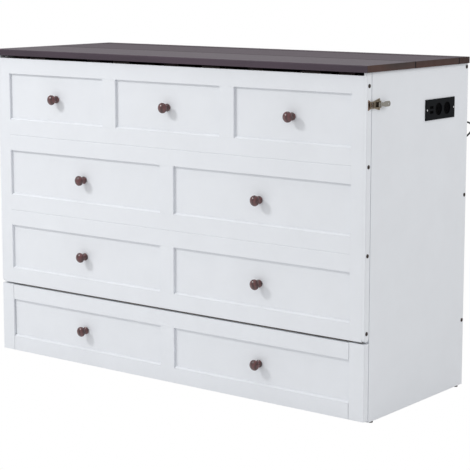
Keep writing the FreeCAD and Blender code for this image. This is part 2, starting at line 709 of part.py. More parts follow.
# ---------------------------------------------------------------- the lid
def build_lid():
    half = HALF_WIDTH + LID_SIDE_OVERHANG
    front = -LID_FRONT_OVERHANG
    rear = CABINET_REAR - LID_REAR_SETBACK
    planks = []
    y = front
    c = PLANK_CHAMFER
    while y < rear - 1:
        y1 = min(y + PLANK_WIDTH, rear)
        outline = [
            (-half, y, LID_BOTTOM),
            (-half, y1, LID_BOTTOM),
            (-half, y1, LID_TOP - c),
            (-half, y1 - c, LID_TOP),
            (-half, y + c, LID_TOP),
            (-half, y, LID_TOP - c),
        ]
        planks.append(plate(outline, (1, 0, 0), 2 * half))
        y = y1
    save("lid_planks", *planks)

    deck_half = INNER_HALF - LID_DECK_SIDE_CLEARANCE
    deck_front = PANEL_THICKNESS + LID_DECK_CLEARANCE
    deck_rear = BACK_FRONT - LID_DECK_REAR_CLEARANCE
    batten_bottom = LID_BOTTOM - LID_BATTEN_THICKNESS
    sheet_bottom = batten_bottom - LID_DECK_THICKNESS
    save("lid_deck_sheet", block(-deck_half, deck_half, deck_front, deck_rear, sheet_bottom, batten_bottom))
    first = -deck_half + LID_BATTEN_INSET
    step = (2 * (deck_half - LID_BATTEN_INSET) - LID_BATTEN_WIDTH) / (LID_BATTEN_COUNT - 1)
    starts = [first + i * step for i in range(LID_BATTEN_COUNT)]
    save(
        "lid_battens",
        *[block(x, x + LID_BATTEN_WIDTH, deck_front, deck_rear, batten_bottom, LID_BOTTOM) for x in starts],
    )


# ---------------------------------------------------------------- the lid's hinges
def hinge_leaf(knuckles, leaf_bottom, hole_radius):
    """A leaf about x = 0 with the knuckles in the given places, round the hinge line at y = 0."""
    half = HINGE_LENGTH / 2
    step = HINGE_LENGTH / HINGE_KNUCKLES
    notch = HINGE_BARREL_RADIUS + 2 * KNUCKLE_CLEARANCE
    leaf_top = leaf_bottom + HINGE_LEAF_THICKNESS
    shape = block(-half, half, notch, notch + HINGE_LEAF_WIDTH, leaf_bottom, leaf_top)
    for i in knuckles:
        x0 = -half + i * step + KNUCKLE_CLEARANCE
        x1 = -half + (i + 1) * step - KNUCKLE_CLEARANCE
        shape = shape.fuse(block(x0, x1, 0, notch, leaf_bottom, leaf_top))
        shape = shape.fuse(rod(HINGE_BARREL_RADIUS, x1 - x0, (x0, 0, HINGE_Z), (1, 0, 0)))
    bore = rod(hole_radius, HINGE_LENGTH, (-half, 0, HINGE_Z), (1, 0, 0))
    return shape.removeSplitter().cut(bore)


def hinge_places():
    outer, inner = HINGE_SPACING_OUTER / 2, HINGE_SPACING_INNER / 2
    return [-outer, -inner, inner, outer]


def copies_along(shape, places):
    shapes = []
    for x in places:
        copy = shape.copy()
        copy.translate(V(x, 0, 0))
        shapes.append(copy)
    return shapes


def build_hinges():
    panel_knuckles = range(0, HINGE_KNUCKLES, 2)
    lid_knuckles = range(1, HINGE_KNUCKLES, 2)
    panel_leaf = hinge_leaf(panel_knuckles, PANEL_TOP, HINGE_PIN_RADIUS)
    pin = rod(HINGE_PIN_RADIUS, HINGE_LENGTH, (-HINGE_LENGTH / 2, 0, HINGE_Z), (1, 0, 0))
    places = hinge_places()
    save("hinge_panel_leaves", *copies_along(panel_leaf, places), *copies_along(pin, places))
    lid_leaf_bottom = LID_BOTTOM - HINGE_LEAF_THICKNESS
    lid_leaf = hinge_leaf(lid_knuckles, lid_leaf_bottom, HINGE_PIN_RADIUS + RUNNING_CLEARANCE)
    save("hinge_lid_leaves", *copies_along(lid_leaf, places))


# ---------------------------------------------------------------- the draw latches
def latch_block(u0, u1, w0, w1, v0, v1):
    """A block on the right-hand side face: u back from the front, w out, v from the latch's middle."""
    x = HALF_WIDTH
    return block(x + w0, x + w1, u0, u1, LATCH_HEIGHT + v0, LATCH_HEIGHT + v1)


def latch_rod(radius, u, w, half_length):
    start = (HALF_WIDTH + w, u, LATCH_HEIGHT - half_length)
    return rod(radius, 2 * half_length, start, (0, 0, 1))


def latch_plate(corners, rounded, radius):
    """A plate on the side face, from its (u, v) corners; rounded picks the corners to round by u."""
    x = HALF_WIDTH
    shape = plate([(x, u, LATCH_HEIGHT + v) for u, v in corners], (1, 0, 0), LATCH_SHEET)
    return fillet(shape, radius, lambda b: near(b.XLength, LATCH_SHEET) and rounded(b.YMin))


def latch_screws(u, v):
    """Two pan heads on the latch's sheet, above and below its middle."""
    start = HALF_WIDTH + LATCH_SHEET
    places = [(start, u, LATCH_HEIGHT + side * v) for side in (-1, 1)]
    return [rod(LATCH_SCREW_RADIUS, LATCH_SCREW_HEIGHT, place, (1, 0, 0)) for place in places]


def build_strike():
    """A plate that narrows to its lip, with two screws."""
    u0, u1 = STRIKE_START, STRIKE_START + STRIKE_LENGTH
    shoulder = u0 + STRIKE_SHOULDER
    tall, waist = STRIKE_HALF_HEIGHT, STRIKE_WAIST_HALF_HEIGHT
    corners = [(u0, -tall), (shoulder, -tall), (u1, -waist), (u1, waist), (shoulder, tall), (u0, tall)]
    shape = latch_plate(corners, lambda u: near(u, shoulder), BASE_ROUND)
    lip_end = LIP_START + LIP_THICKNESS
    lip = latch_block(LIP_START, lip_end, LATCH_SHEET, LIP_HEIGHT, -LIP_HALF_WIDTH, LIP_HALF_WIDTH)
    back, off = STRIKE_SCREW_PLACE
    return [joined(shape, lip)] + latch_screws(u0 + back, off)


def build_latch_base():
    """A plate that widens to two screw ears, the lever's ears, and the lever's pin."""
    u0, u1 = BASE_START, BASE_START + BASE_LENGTH
    narrow, wide = BASE_FRONT_HALF_HEIGHT, BASE_HALF_HEIGHT
    corners = [(u0, -narrow), (u1, -wide), (u1, wide), (u0, narrow)]
    base = latch_plate(corners, lambda u: True, BASE_ROUND)
    for side in (-1, 1):
        v0, v1 = sorted((side * EAR_INNER, side * (EAR_INNER + EAR_THICKNESS)))
        ear_front, ear_rear = LEVER_PIVOT - EAR_RADIUS, LEVER_PIVOT + EAR_RADIUS
        web = latch_block(ear_front, ear_rear, LATCH_SHEET, LEVER_PIVOT_OUT, v0, v1)
        crown = rod(
            EAR_RADIUS,
            EAR_THICKNESS,
            (HALF_WIDTH + LEVER_PIVOT_OUT, LEVER_PIVOT, LATCH_HEIGHT + v0),
            (0, 0, 1),
        )
        base = base.fuse(web).fuse(crown)
    pin = latch_rod(LEVER_PIN_RADIUS, LEVER_PIVOT, LEVER_PIVOT_OUT, EAR_INNER + EAR_THICKNESS)
    back, off = BASE_SCREW_PLACE
    return [base.removeSplitter().cut(pin), pin] + latch_screws(u0 + back, off)


def build_latches():
    save("latch_strikes", *[s for piece in build_strike() for s in pair(piece)])
    save("latch_bases", *[s for piece in build_latch_base() for s in pair(piece)])
    lever = build_lever()
    save("latch_lever_right", lever)
    save("latch_lever_left", mirrored(lever))
    bail = build_bail()
    save("latch_bail_right", bail)
    save("latch_bail_left", mirrored(bail))


def build_lever():
    """A pressed lever: a hub on the pivot, two cheeks that hold the bail, and a round tail."""
    low = LEVER_PIVOT_OUT + LEVER_RISE
    head = LEVER_PIVOT - LEVER_NOSE
    half, tail = LEVER_HALF_WIDTH, LEVER_TAIL_HALF_WIDTH
    flared = LEVER_TAIL_START + LEVER_TAIL_FLARE
    round_start = LEVER_END - tail
    x = HALF_WIDTH + low

    def at(u, v):
        return V(x, u, LATCH_HEIGHT + v)

    outline = [(round_start, tail), (flared, tail), (LEVER_TAIL_START, half), (head, half)]
    outline += [(u, -v) for u, v in reversed(outline)]
    edges = [Part.LineSegment(at(*a), at(*b)).toShape() for a, b in zip(outline, outline[1:])]
    edges.append(Part.Arc(at(round_start, -tail), at(LEVER_END, 0), at(round_start, tail)).toShape())
    shape = Part.Face(Part.Wire(edges)).extrude(V(LEVER_SHEET, 0, 0))
    hole = rod(LEVER_HOLE_RADIUS, LEVER_SHEET, (x, round_start, LATCH_HEIGHT), (1, 0, 0))
    shape = shape.cut(hole)
    shape = shape.fuse(latch_rod(LEVER_HUB_RADIUS, LEVER_PIVOT, LEVER_PIVOT_OUT, half))
    cheek_low = BAIL_PIN_OUT - BAIL_EYE_RADIUS
    for side in (-1, 1):
        v0, v1 = sorted((side * half, side * (half - CHEEK_THICKNESS)))
        shape = shape.fuse(latch_block(LEVER_PIVOT, LEVER_TAIL_START, cheek_low, low, v0, v1))
    shape = shape.removeSplitter()
    shape = shape.cut(latch_rod(LEVER_PIN_RADIUS + RUNNING_CLEARANCE, LEVER_PIVOT, LEVER_PIVOT_OUT, half))
    return shape.cut(latch_rod(BAIL_PIN_RADIUS + RUNNING_CLEARANCE, BAIL_PIN, BAIL_PIN_OUT, half))


def build_bail():
    """A stamped claw: two arms on trunnions in the lever, a web, and a bar in front of the lip."""
    w0 = BAIL_PIN_OUT - BAIL_SHEET / 2
    w1 = w0 + BAIL_SHEET
    bar_rear = LIP_START - BAIL_BAR_CLEARANCE
    bar_front = bar_rear - BAIL_BAR_LENGTH
    web_front = bar_rear + BAIL_WINDOW_LENGTH
    web_rear = web_front + BAIL_WEB_LENGTH
    outer = BAIL_ARM_OUTER
    shape = latch_block(bar_front, bar_rear, w0, w1, -outer, outer)
    shape = shape.fuse(latch_block(web_front, web_rear, w0, w1, -outer, outer))
    for side in (-1, 1):
        v0, v1 = sorted((side * BAIL_ARM_INNER, side * outer))
        shape = shape.fuse(latch_block(bar_front, BAIL_PIN, w0, w1, v0, v1))
        start = (HALF_WIDTH + BAIL_PIN_OUT, BAIL_PIN, LATCH_HEIGHT + v0)
        shape = shape.fuse(rod(BAIL_EYE_RADIUS, v1 - v0, start, (0, 0, 1)))
        reach = LEVER_HALF_WIDTH - CHEEK_THICKNESS
        t0, t1 = sorted((side * reach, side * outer))
        start = (HALF_WIDTH + BAIL_PIN_OUT, BAIL_PIN, LATCH_HEIGHT + t0)
        shape = shape.fuse(rod(BAIL_PIN_RADIUS, t1 - t0, start, (0, 0, 1)))
    return shape.removeSplitter()


# ---------------------------------------------------------------- the power outlet
def receptacle(y):
    """A round insert with two slots and an earth hole, set back in the plate."""
    x = HALF_WIDTH + OUTLET_PLATE_THICKNESS - RECEPTACLE_RECESS - RECEPTACLE_THICKNESS
    z = OUTLET_MIDDLE_Z
    shape = rod(RECEPTACLE_RADIUS, RECEPTACLE_THICKNESS, (x, y, z), (1, 0, 0))
    depth = (x - 1, x + RECEPTACLE_THICKNESS + 1)
    for side, width, height in zip((-1, 1), SLOT_WIDTHS, SLOT_HEIGHTS):
        middle = y + side * SLOT_OFFSET
        z0 = z + GROUND_RADIUS - height / 2
        shape = shape.cut(block(*depth, middle - width / 2, middle + width / 2, z0, z0 + height))
    earth = rod(GROUND_RADIUS, RECEPTACLE_THICKNESS + 2, (x - 1, y, z - GROUND_DROP), (1, 0, 0))
    return shape.cut(earth)


def insert_places():
    """Middles along Y of the ports and of the two receptacles, evenly spaced in the housing."""
    front = OUTLET_MIDDLE_Y - HOUSING_HALF_LENGTH + INSERT_FRONT_CLEARANCE
    rear = OUTLET_MIDDLE_Y + HOUSING_HALF_LENGTH - INSERT_REAR_CLEARANCE
    gap = (rear - front - USB_LENGTH - 4 * RECEPTACLE_RADIUS) / 2
    port = front + USB_LENGTH / 2
    return port, (front + USB_LENGTH + gap + RECEPTACLE_RADIUS, rear - RECEPTACLE_RADIUS)


def usb_port(y, z):
    """A rectangular insert, flush with the plate, with a shallow slot and its tongue."""
    x1 = HALF_WIDTH + OUTLET_PLATE_THICKNESS
    x0 = x1 - RECEPTACLE_RECESS - RECEPTACLE_THICKNESS
    shape = block(x0, x1, y - USB_LENGTH / 2, y + USB_LENGTH / 2, z - USB_HEIGHT / 2, z + USB_HEIGHT / 2)
    half_l, half_h = USB_SLOT_LENGTH / 2, USB_SLOT_HEIGHT / 2
    slot = block(x1 - USB_SLOT_DEPTH, x1 + 1, y - half_l, y + half_l, z - half_h, z + half_h)
    side, face = USB_TONGUE_CLEARANCE, USB_TONGUE_CLEARANCE / 2
    tongue = block(
        x1 - USB_SLOT_DEPTH, x1 - face, y - half_l + side, y + half_l - side, z, z + half_h - side
    )
    return shape.cut(slot.cut(tongue))


def build_outlet():
    y0, y1 = OUTLET_START, OUTLET_START + OUTLET_LENGTH
    z = OUTLET_MIDDLE_Z
    half = OUTLET_HEIGHT / 2
    face = HALF_WIDTH + OUTLET_PLATE_THICKNESS
    cover = block(HALF_WIDTH, face, y0, y1, z - half, z + half)
    cover = fillet(cover, OUTLET_EDGE_ROUND, lambda b: near(b.XMin, face))
    insert_back = face - RECEPTACLE_RECESS - RECEPTACLE_THICKNESS
    depth = face - insert_back + 2
    usb_y, socket_places = insert_places()
    sockets = [receptacle(y) for y in socket_places]
    ports = [usb_port(usb_y, z + offset) for offset in USB_OFFSETS]
    holes = [rod(RECEPTACLE_RADIUS, depth, (insert_back, y, z), (1, 0, 0)) for y in socket_places]
    holes += [
        block(
            insert_back,
            face + 1,
            usb_y - USB_LENGTH / 2,
            usb_y + USB_LENGTH / 2,
            z + offset - USB_HEIGHT / 2,
            z + offset + USB_HEIGHT / 2,
        )
        for offset in USB_OFFSETS
    ]
    screws = [
        rod(OUTLET_SCREW_RADIUS, OUTLET_SCREW_HEIGHT, (face - OUTLET_SCREW_SINK, y, z), (1, 0, 0))
        for y in (y0 + OUTLET_SCREW_INSET, y1 - OUTLET_SCREW_INSET)
    ]
    housing = block(
        HALF_WIDTH - HOUSING_DEPTH,
        HALF_WIDTH,
        OUTLET_MIDDLE_Y - HOUSING_HALF_LENGTH,
        OUTLET_MIDDLE_Y + HOUSING_HALF_LENGTH,
        z - HOUSING_HALF_HEIGHT,
        z + HOUSING_HALF_HEIGHT,
    )
    for hole in holes:
        cover = cover.cut(hole)
        housing = housing.cut(hole)
    for screw in screws:
        cover = cover.cut(screw)
    save("outlet_faceplate", cover)
    save("outlet_housing", housing)
    save("outlet_inserts", *sockets, *ports)
    save("outlet_screws", *screws)


# ---------------------------------------------------------------- the cord
CORD_RADIUS = CORD_DIAMETER / 2
FLOOR_Z = CORD_RADIUS + FLOOR_CLEARANCE
COIL_TOP_Z = FLOOR_Z + COIL_PITCH


def rounded_route(points):
    """Straight runs joined by tangent arcs as large as their runs allow, and the arcs' radii."""
    corners = [V(*p) for p in points]
    edges, radii = [], []
    at = corners[0]
    for before, corner, after in zip(corners, corners[1:], corners[2:]):
        back, ahead = before - corner, after - corner
        cut = ARC_SHARE * min(back.Length, ahead.Length)
        back.normalize()
        ahead.normalize()
        turn = math.pi - back.getAngle(ahead)
        radius = cut / math.tan(turn / 2)
        radii.append(radius)
        first, last = corner + back * cut, corner + ahead * cut
        towards = back + ahead
        towards.normalize()
        middle = corner + towards * (math.hypot(cut, radius) - radius)
        edges.append(Part.LineSegment(at, first).toShape())
        edges.append(Part.Arc(first, middle, last).toShape())
        at = last
    edges.append(Part.LineSegment(at, corners[-1]).toShape())
    return edges, radii


def tube(edges, radius):
    wire = Part.Wire(edges)
    first = edges[0]
    circle = Part.Wire([Part.makeCircle(radius, first.Vertexes[0].Point, first.tangentAt(0))])
    return wire.makePipeShell([circle], True, False)


def cord_points():
    """From the strain relief out, down behind the back, and along the floor to the coil."""
    x, y, z = CORD_X, CABINET_REAR, CORD_HEIGHT
    return [
        (x, y + RELIEF_LENGTH, z),
        (x + 1, y + 46, z),
        (x + 4, y + 61, z - 1),
        (x + 9, y + 73, z - 8),
        (x + 11, y + 79, z - 20),
        (x + 8, y + 76, z - 34),
        (x + 1, y + 67, z - 46),
        (x - 8, y + 55, z - 57),
        (x - 17, y + 44, z - 75),
        (x - 25, y + 34, z - 108),
        (x - 29, y + 28, z - 160),
        (x - 33, y + 29, z - 216),
        (x - 34, y + 25, z - 274),
        (x - 40, y + 27, z - 332),
        (x - 42, y + 24, z - 391),
        (x - 48, y + 28, z - 450),
        (x - 49, y + 26, z - 509),
        (x - 54, y + 31, z - 568),
        (x - 54, y + 30, z - 627),
        (x - 58, y + 35, z - 686),
        (x - 57, y + 37, z - 745),
        (x - 60, y + 45, z - 800),
        (x - 62, y + 57, z - 845),
        (x - 65, y + 72, z - 878),
        (x - 70, y + 87, z - 900),
        (x - 77, y + 101, z - 912),
        (x - 90, y + 114, FLOOR_Z),
        (x - 112, COIL_Y + COIL_OUTER_RADIUS, FLOOR_Z),
        (COIL_X + CORD_DIAMETER, COIL_Y + COIL_OUTER_RADIUS, FLOOR_Z),
    ]


def coil_at(turns):
    """The coil's middle line: inward on the floor, up in half a turn, and outward on top."""
    reverse = COIL_LAYER_TURNS + 0.25
    radius = COIL_OUTER_RADIUS - COIL_PITCH * (reverse - abs(turns - reverse))
    angle = math.pi / 2 + 2 * math.pi * turns
    climb = min(max(turns - COIL_LAYER_TURNS, 0.0), 0.5) / 0.5
    rise = COIL_PITCH * (1 - math.cos(math.pi * climb)) / 2
    return V(COIL_X + radius * math.cos(angle), COIL_Y + radius * math.sin(angle), FLOOR_Z + rise)


def coil_heading(turns):
    """The direction along the coil: round its centre, and up where it climbs."""
    ahead = coil_at(turns + 0.01) - coil_at(turns - 0.01)
    around = coil_at(turns) - V(COIL_X, COIL_Y, 0)
    heading = V(-around.y, around.x, 0)
    heading.normalize()
    heading.z = ahead.z / ahead.Length
    heading.normalize()
    return heading


def biarc(start, heading, end, end_heading):
    """Two arcs that leave start and reach end along the given headings."""
    across = end - start
    both = heading + end_heading
    a = both.dot(both) - 4
    b = -2 * across.dot(both)
    c = across.dot(across)
    reach = (-b - math.sqrt(b * b - 4 * a * c)) / (2 * a)
    first, last = start + heading * reach, end - end_heading * reach
    joint = (first + last) * 0.5
    return [arc_in_corner(start, first, joint), arc_in_corner(joint, last, end)]


def arc_in_corner(start, corner, end):
    """The arc from start to end that touches both sides of the corner."""
    half_chord = (end - start).Length / 2
    weight = half_chord / (corner - start).Length
    middle = (start + end + corner * (2 * weight)) * (0.5 / (1 + weight))
    return Part.Arc(start, middle, end).toShape()


def coil_edges():
    """Quarter turns, between two straight ends one diameter long."""
    quarters = round(4 * (2 * COIL_LAYER_TURNS + 0.5))
    stations = [i / 4 for i in range(quarters + 1)]
    start, end = coil_at(0), coil_at(stations[-1])
    edges = [Part.LineSegment(start - coil_heading(0) * CORD_DIAMETER, start).toShape()]
    for a, b in zip(stations, stations[1:]):
        edges += biarc(coil_at(a), coil_heading(a), coil_at(b), coil_heading(b))
    edges.append(Part.LineSegment(end, end + coil_heading(stations[-1]) * CORD_DIAMETER).toShape())
    return edges


def least_gap(edges):
    """The least gap between the turns of a tube, measured on points along its middle line."""
    spacing = 1.5
    points = Part.Wire(edges).discretize(Distance=spacing)
    half_turn = round(math.pi * (COIL_OUTER_RADIUS - 2 * COIL_PITCH) / spacing)
    gaps = [(p - q).Length for i, p in enumerate(points) for q in points[i + half_turn :]]
    return min(gaps) - CORD_DIAMETER


def relief_sleeve():
    """The shank of the strain relief, through the back's right-hand stile."""
    return rod(RELIEF_HOLE_RADIUS, BACK_THICKNESS, (CORD_X, BACK_FRONT, CORD_HEIGHT), (0, 1, 0))


def plug(start, heading):
    """A moulded plug that lies on the floor with its prongs pointing along heading."""
    tip, root = PLUG_NECK_TIP_RADIUS, PLUG_NECK_ROOT_RADIUS
    neck = Part.makeCone(tip, root, PLUG_NECK_LENGTH, V(0, 0, 0), V(1, 0, 0))
    half = COIL_TOP_Z
    end = PLUG_NECK_LENGTH + PLUG_LENGTH
    body = block(PLUG_NECK_LENGTH, end, -PLUG_WIDTH / 2, PLUG_WIDTH / 2, -half, half)
    body = body.makeFillet(PLUG_ROUND, body.Edges)
    shape = neck.fuse(body)
    for side in (-1, 1):
        y = side * PRONG_SPACING / 2
        t = PRONG_THICKNESS / 2
        shape = shape.fuse(
            block(end - 1, end + PRONG_LENGTH, y - t, y + t, 1 - PRONG_WIDTH / 2, 1 + PRONG_WIDTH / 2)
        )
    shape = shape.fuse(rod(EARTH_PRONG_RADIUS, PRONG_LENGTH + 1, (end - 1, 0, -5.5), (1, 0, 0)))
    shape.rotate(V(0, 0, 0), V(0, 0, 1), math.degrees(math.atan2(heading.y, heading.x)))
    shape.translate(start)
    return shape.removeSplitter()


def build_cord():
    flange = rod(
        RELIEF_FLANGE_RADIUS, RELIEF_FLANGE_THICKNESS, (CORD_X, CABINET_REAR, CORD_HEIGHT), (0, 1, 0)
    )
    taper = Part.makeCone(
        RELIEF_ROOT_RADIUS,
        RELIEF_TIP_RADIUS,
        RELIEF_LENGTH - RELIEF_FLANGE_THICKNESS,
        V(CORD_X, CABINET_REAR + RELIEF_FLANGE_THICKNESS, CORD_HEIGHT),
        V(0, 1, 0),
    )
    save("cord_strain_relief", joined(relief_sleeve(), flange, taper))
    edges, radii = rounded_route(cord_points())
    turns = coil_edges()
    free = Part.Wire(edges).Length
    wound = Part.Wire(turns).Length
    print("cord: free", round(free, 1), "wound", round(wound, 1), "total", round(free + wound, 1))
    print("radii", [round(r) for r in radii], "least gap in the coil", round(least_gap(turns), 2))
    cord = tube(edges, CORD_RADIUS)
    coil = tube(turns, CORD_RADIUS)
    section = math.pi * CORD_RADIUS**2
    print("volume ratios", round(cord.Volume / section / free, 4), round(coil.Volume / section / wound, 4))
    save("power_cord", cord)
    save("power_cord_coil", coil)
    end = turns[-1].Vertexes[-1].Point
    save("power_plug", plug(end, turns[-1].tangentAt(turns[-1].LastParameter)))


# ---------------------------------------------------------------- the mattress
def build_mattress():
    """Three sections of a folding mattress, standing folded on the fixed deck."""
    half = MATTRESS_WIDTH / 2
    height = MATTRESS_LENGTH / len(MATTRESS_SECTIONS)
    step = MATTRESS_THICKNESS + MATTRESS_SECTION_GAP
    front = PANEL_THICKNESS + MATTRESS_FRONT_CLEARANCE
    rear = front + step * (len(MATTRESS_SECTIONS) - 1)
    for i, name in enumerate(MATTRESS_SECTIONS):
        y = rear - i * step
        section = block(-half, half, y, y + MATTRESS_THICKNESS, DECK_TOP, DECK_TOP + height)
        section = section.makeFillet(MATTRESS_ROUND, section.Edges)
        save("mattress_" + name + "_section", section)


# ---------------------------------------------------------------- the drawer unit
def caster_places():
    return (UNIT_STILE_DEPTH + CASTER_INSET, UNIT_REAR - CASTER_INSET)


def build_drawer_unit():
    stile = block(OPENING_HALF, HALF_WIDTH, 0, UNIT_STILE_DEPTH, UNIT_FLOOR_GAP, UNIT_TOP)
    stile = fillet(
        stile,
        CORNER_ROUND,
        lambda b: near(b.XMin, HALF_WIDTH) and near(b.YLength, 0) and b.ZLength > UNIT_STILE_DEPTH,
    )
    save("unit_stiles", *pair(stile))
    deck_bottom = UNIT_DECK_BOTTOM
    front, rear = UNIT_STILE_DEPTH, UNIT_REAR
    inner, outer = UNIT_BOARD_INNER, UNIT_HALF
    board = block(inner, outer, front, rear, UNIT_BOARD_BOTTOM, deck_bottom)
    save("unit_side_boards", *pair(board))
    back = block(-inner, inner, rear - UNIT_BOARD_THICKNESS, rear, UNIT_BOARD_BOTTOM, deck_bottom)
    save("unit_back_board", back)
    deck_front = front + SIDE_SETBACK
    save("unit_deck", block(-outer, outer, deck_front, rear, deck_bottom, UNIT_DECK_TOP))
    rail_bottom = UNIT_BOARD_BOTTOM - UNIT_RAIL_HEIGHT
    rails = [
        block(-outer, outer, y, y + UNIT_RAIL_DEPTH, rail_bottom, UNIT_BOARD_BOTTOM)
        for y in (deck_front, rear - UNIT_RAIL_DEPTH)
    ]
    half = BEARER_WIDTH / 2
    bearer_bottom = deck_bottom - UNIT_BEARER_HEIGHT
    rails.append(block(-half, half, deck_front, rear - UNIT_BOARD_THICKNESS, bearer_bottom, deck_bottom))
    save("unit_rails", *rails)
    build_casters()


def build_casters():
    """Rigid casters under the side boards: forks with their axles, and the wheels."""
    middle = (UNIT_BOARD_INNER + UNIT_HALF) / 2
    inner = WHEEL_WIDTH / 2 + FORK_CLEARANCE
    outer = inner + FORK_THICKNESS
    top = UNIT_BOARD_BOTTOM
    forks = []
    for y in caster_places():
        y0, y1 = y - FORK_LENGTH / 2, y + FORK_LENGTH / 2
        shape = block(middle - outer, middle + outer, y0, y1, top - FORK_THICKNESS, top)
        for side in (-1, 1):
            a, b = sorted((side * inner, side * outer))
            cheek = plate(
                [
                    (middle + a, y0, top - FORK_THICKNESS),
                    (middle + a, y - 2 * AXLE_RADIUS, WHEEL_RADIUS - 2 * AXLE_RADIUS),
                    (middle + a, y + 2 * AXLE_RADIUS, WHEEL_RADIUS - 2 * AXLE_RADIUS),
                    (middle + a, y1, top - FORK_THICKNESS),
                ],
                (1, 0, 0),
                b - a,
            )
            shape = shape.fuse(cheek)
        axle = rod(AXLE_RADIUS, 2 * outer, (middle - outer, y, WHEEL_RADIUS), (1, 0, 0))
        forks += pair(joined(shape, axle))
    save("caster_forks", *forks)
    for name, y in zip(("front", "rear"), caster_places()):
        wheel = rod(WHEEL_RADIUS, WHEEL_WIDTH, (middle - WHEEL_WIDTH / 2, y, WHEEL_RADIUS), (1, 0, 0))
        wheel = wheel.makeFillet(WHEEL_TREAD_ROUND, wheel.Edges[:1] + wheel.Edges[2:3])
        bore = rod(
            AXLE_RADIUS + RUNNING_CLEARANCE,
            WHEEL_WIDTH,
            (middle - WHEEL_WIDTH / 2, y, WHEEL_RADIUS),
            (1, 0, 0),
        )
        for side, part in zip(("right", "left"), pair(wheel.cut(bore))):
            save("caster_wheel_" + name + "_" + side, part)


# ---------------------------------------------------------------- the drawer
def channel(x_web, x_tip, half_height, z, y0, y1):
    """A C section along Y, its web at x_web and its flanges reaching to x_tip."""
    t = RUNNER_SHEET
    toward = 1 if x_tip > x_web else -1
    a, b = sorted((x_web, x_web + toward * t))
    web = block(a, b, y0, y1, z - half_height, z + half_height)
    c, d = sorted((x_web, x_tip))
    low = block(c, d, y0, y1, z - half_height, z - half_height + t)
    high = block(c, d, y0, y1, z + half_height - t, z + half_height)
    return joined(web, low, high)


def build_runners():
    """Telescopic runners: a member on the unit, one between, and one on the drawer, nested."""
    z = (BOX_BOTTOM + BOX_TOP) / 2
    y0 = UNIT_STILE_DEPTH + RUNNER_FRONT_SETBACK
    y1 = BOX_REAR - RUNNER_REAR_SETBACK
    wall = UNIT_BOARD_INNER
    step = RUNNER_SHEET + RUNNER_GAP
    half = RUNNER_HALF_HEIGHT
    outer = channel(wall, wall - RUNNER_FLANGE, half, z, y0, y1)
    middle = channel(wall - step, wall - step - RUNNER_FLANGE, half - step, z, y0, y1)
    inner = channel(BOX_HALF, BOX_HALF + RUNNER_FLANGE, half - 2 * step, z, y0, y1)
    save("runner_outer_members", *pair(outer))
    save("runner_middle_members", *pair(middle))
    save("runner_inner_members", *pair(inner))


def build_drawer():
    thickness = DRAWER_FRONT_THICKNESS
    z0 = DRAWER_BOTTOM + DRAWER_BOTTOM_RAIL
    z1 = DRAWER_TOP - DRAWER_TOP_RAIL
    half = DRAWER_HALF
    stile_half = MID_STILE_WIDTH / 2
    faces = [
        block(-half, half, 0, thickness, DRAWER_BOTTOM, z0),
        block(-half, half, 0, thickness, z1, DRAWER_TOP),
        block(-stile_half, stile_half, 0, thickness, z0, z1),
    ]
    panel_front = RECESS_DEPTH
    panel_rear = panel_front + RECESS_PANEL_THICKNESS
    panel = block(stile_half - TONGUE, half, panel_front, panel_rear, z0 - TONGUE, z1 + TONGUE)
    batten = block(half - END_BATTEN_WIDTH, half, panel_rear, thickness, z0, z1)
    panels = pair(panel)
    for p in panels:
        faces = [f.cut(p) for f in faces]
    save("drawer_front_frame", *faces, *pair(batten))
    save("drawer_front_panels", *panels)
    middle = (stile_half + OPENING_HALF) / 2
    save("drawer_knobs", *pair(knob(middle, (z0 + z1) / 2)))

    top, rear = BOX_TOP, BOX_REAR
    t = BOX_THICKNESS
    front = thickness + t
    floor_bottom = BOX_BOTTOM + BOX_FLOOR_RAISE
    floor_top = floor_bottom + BOX_FLOOR_THICKNESS
    ends = [
        block(-BOX_HALF, BOX_HALF, thickness, front, BOX_BOTTOM, top),
        block(-BOX_HALF + t, BOX_HALF - t, rear - t, rear, BOX_BOTTOM, top),
    ]
    save("drawer_box_ends", *ends)
    save("drawer_box_sides", *pair(block(BOX_HALF - t, BOX_HALF, front, rear, BOX_BOTTOM, top)))
    save("drawer_bottom", block(-BOX_HALF + t, BOX_HALF - t, front, rear - t, floor_bottom, floor_top))


def main():
    os.makedirs("parts", exist_ok=True)
    build_cabinet()
    build_fixed_deck()
    build_pivot_brackets()
    build_front_panel()
    build_lid()
    build_hinges()
    build_latches()
    build_outlet()
    build_cord()
    build_mattress()
    build_drawer_unit()
    build_runners()
    build_drawer()


main()
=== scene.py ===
"""The looks of a queen cabinet bed: painted boards, a stained plank lid, turned knobs, brass draw
latches, a power outlet with its cord, and the folded mattress inside. Sizes are in metres."""

import math

import bmesh
import bpy
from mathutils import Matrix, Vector
from mathutils.bvhtree import BVHTree


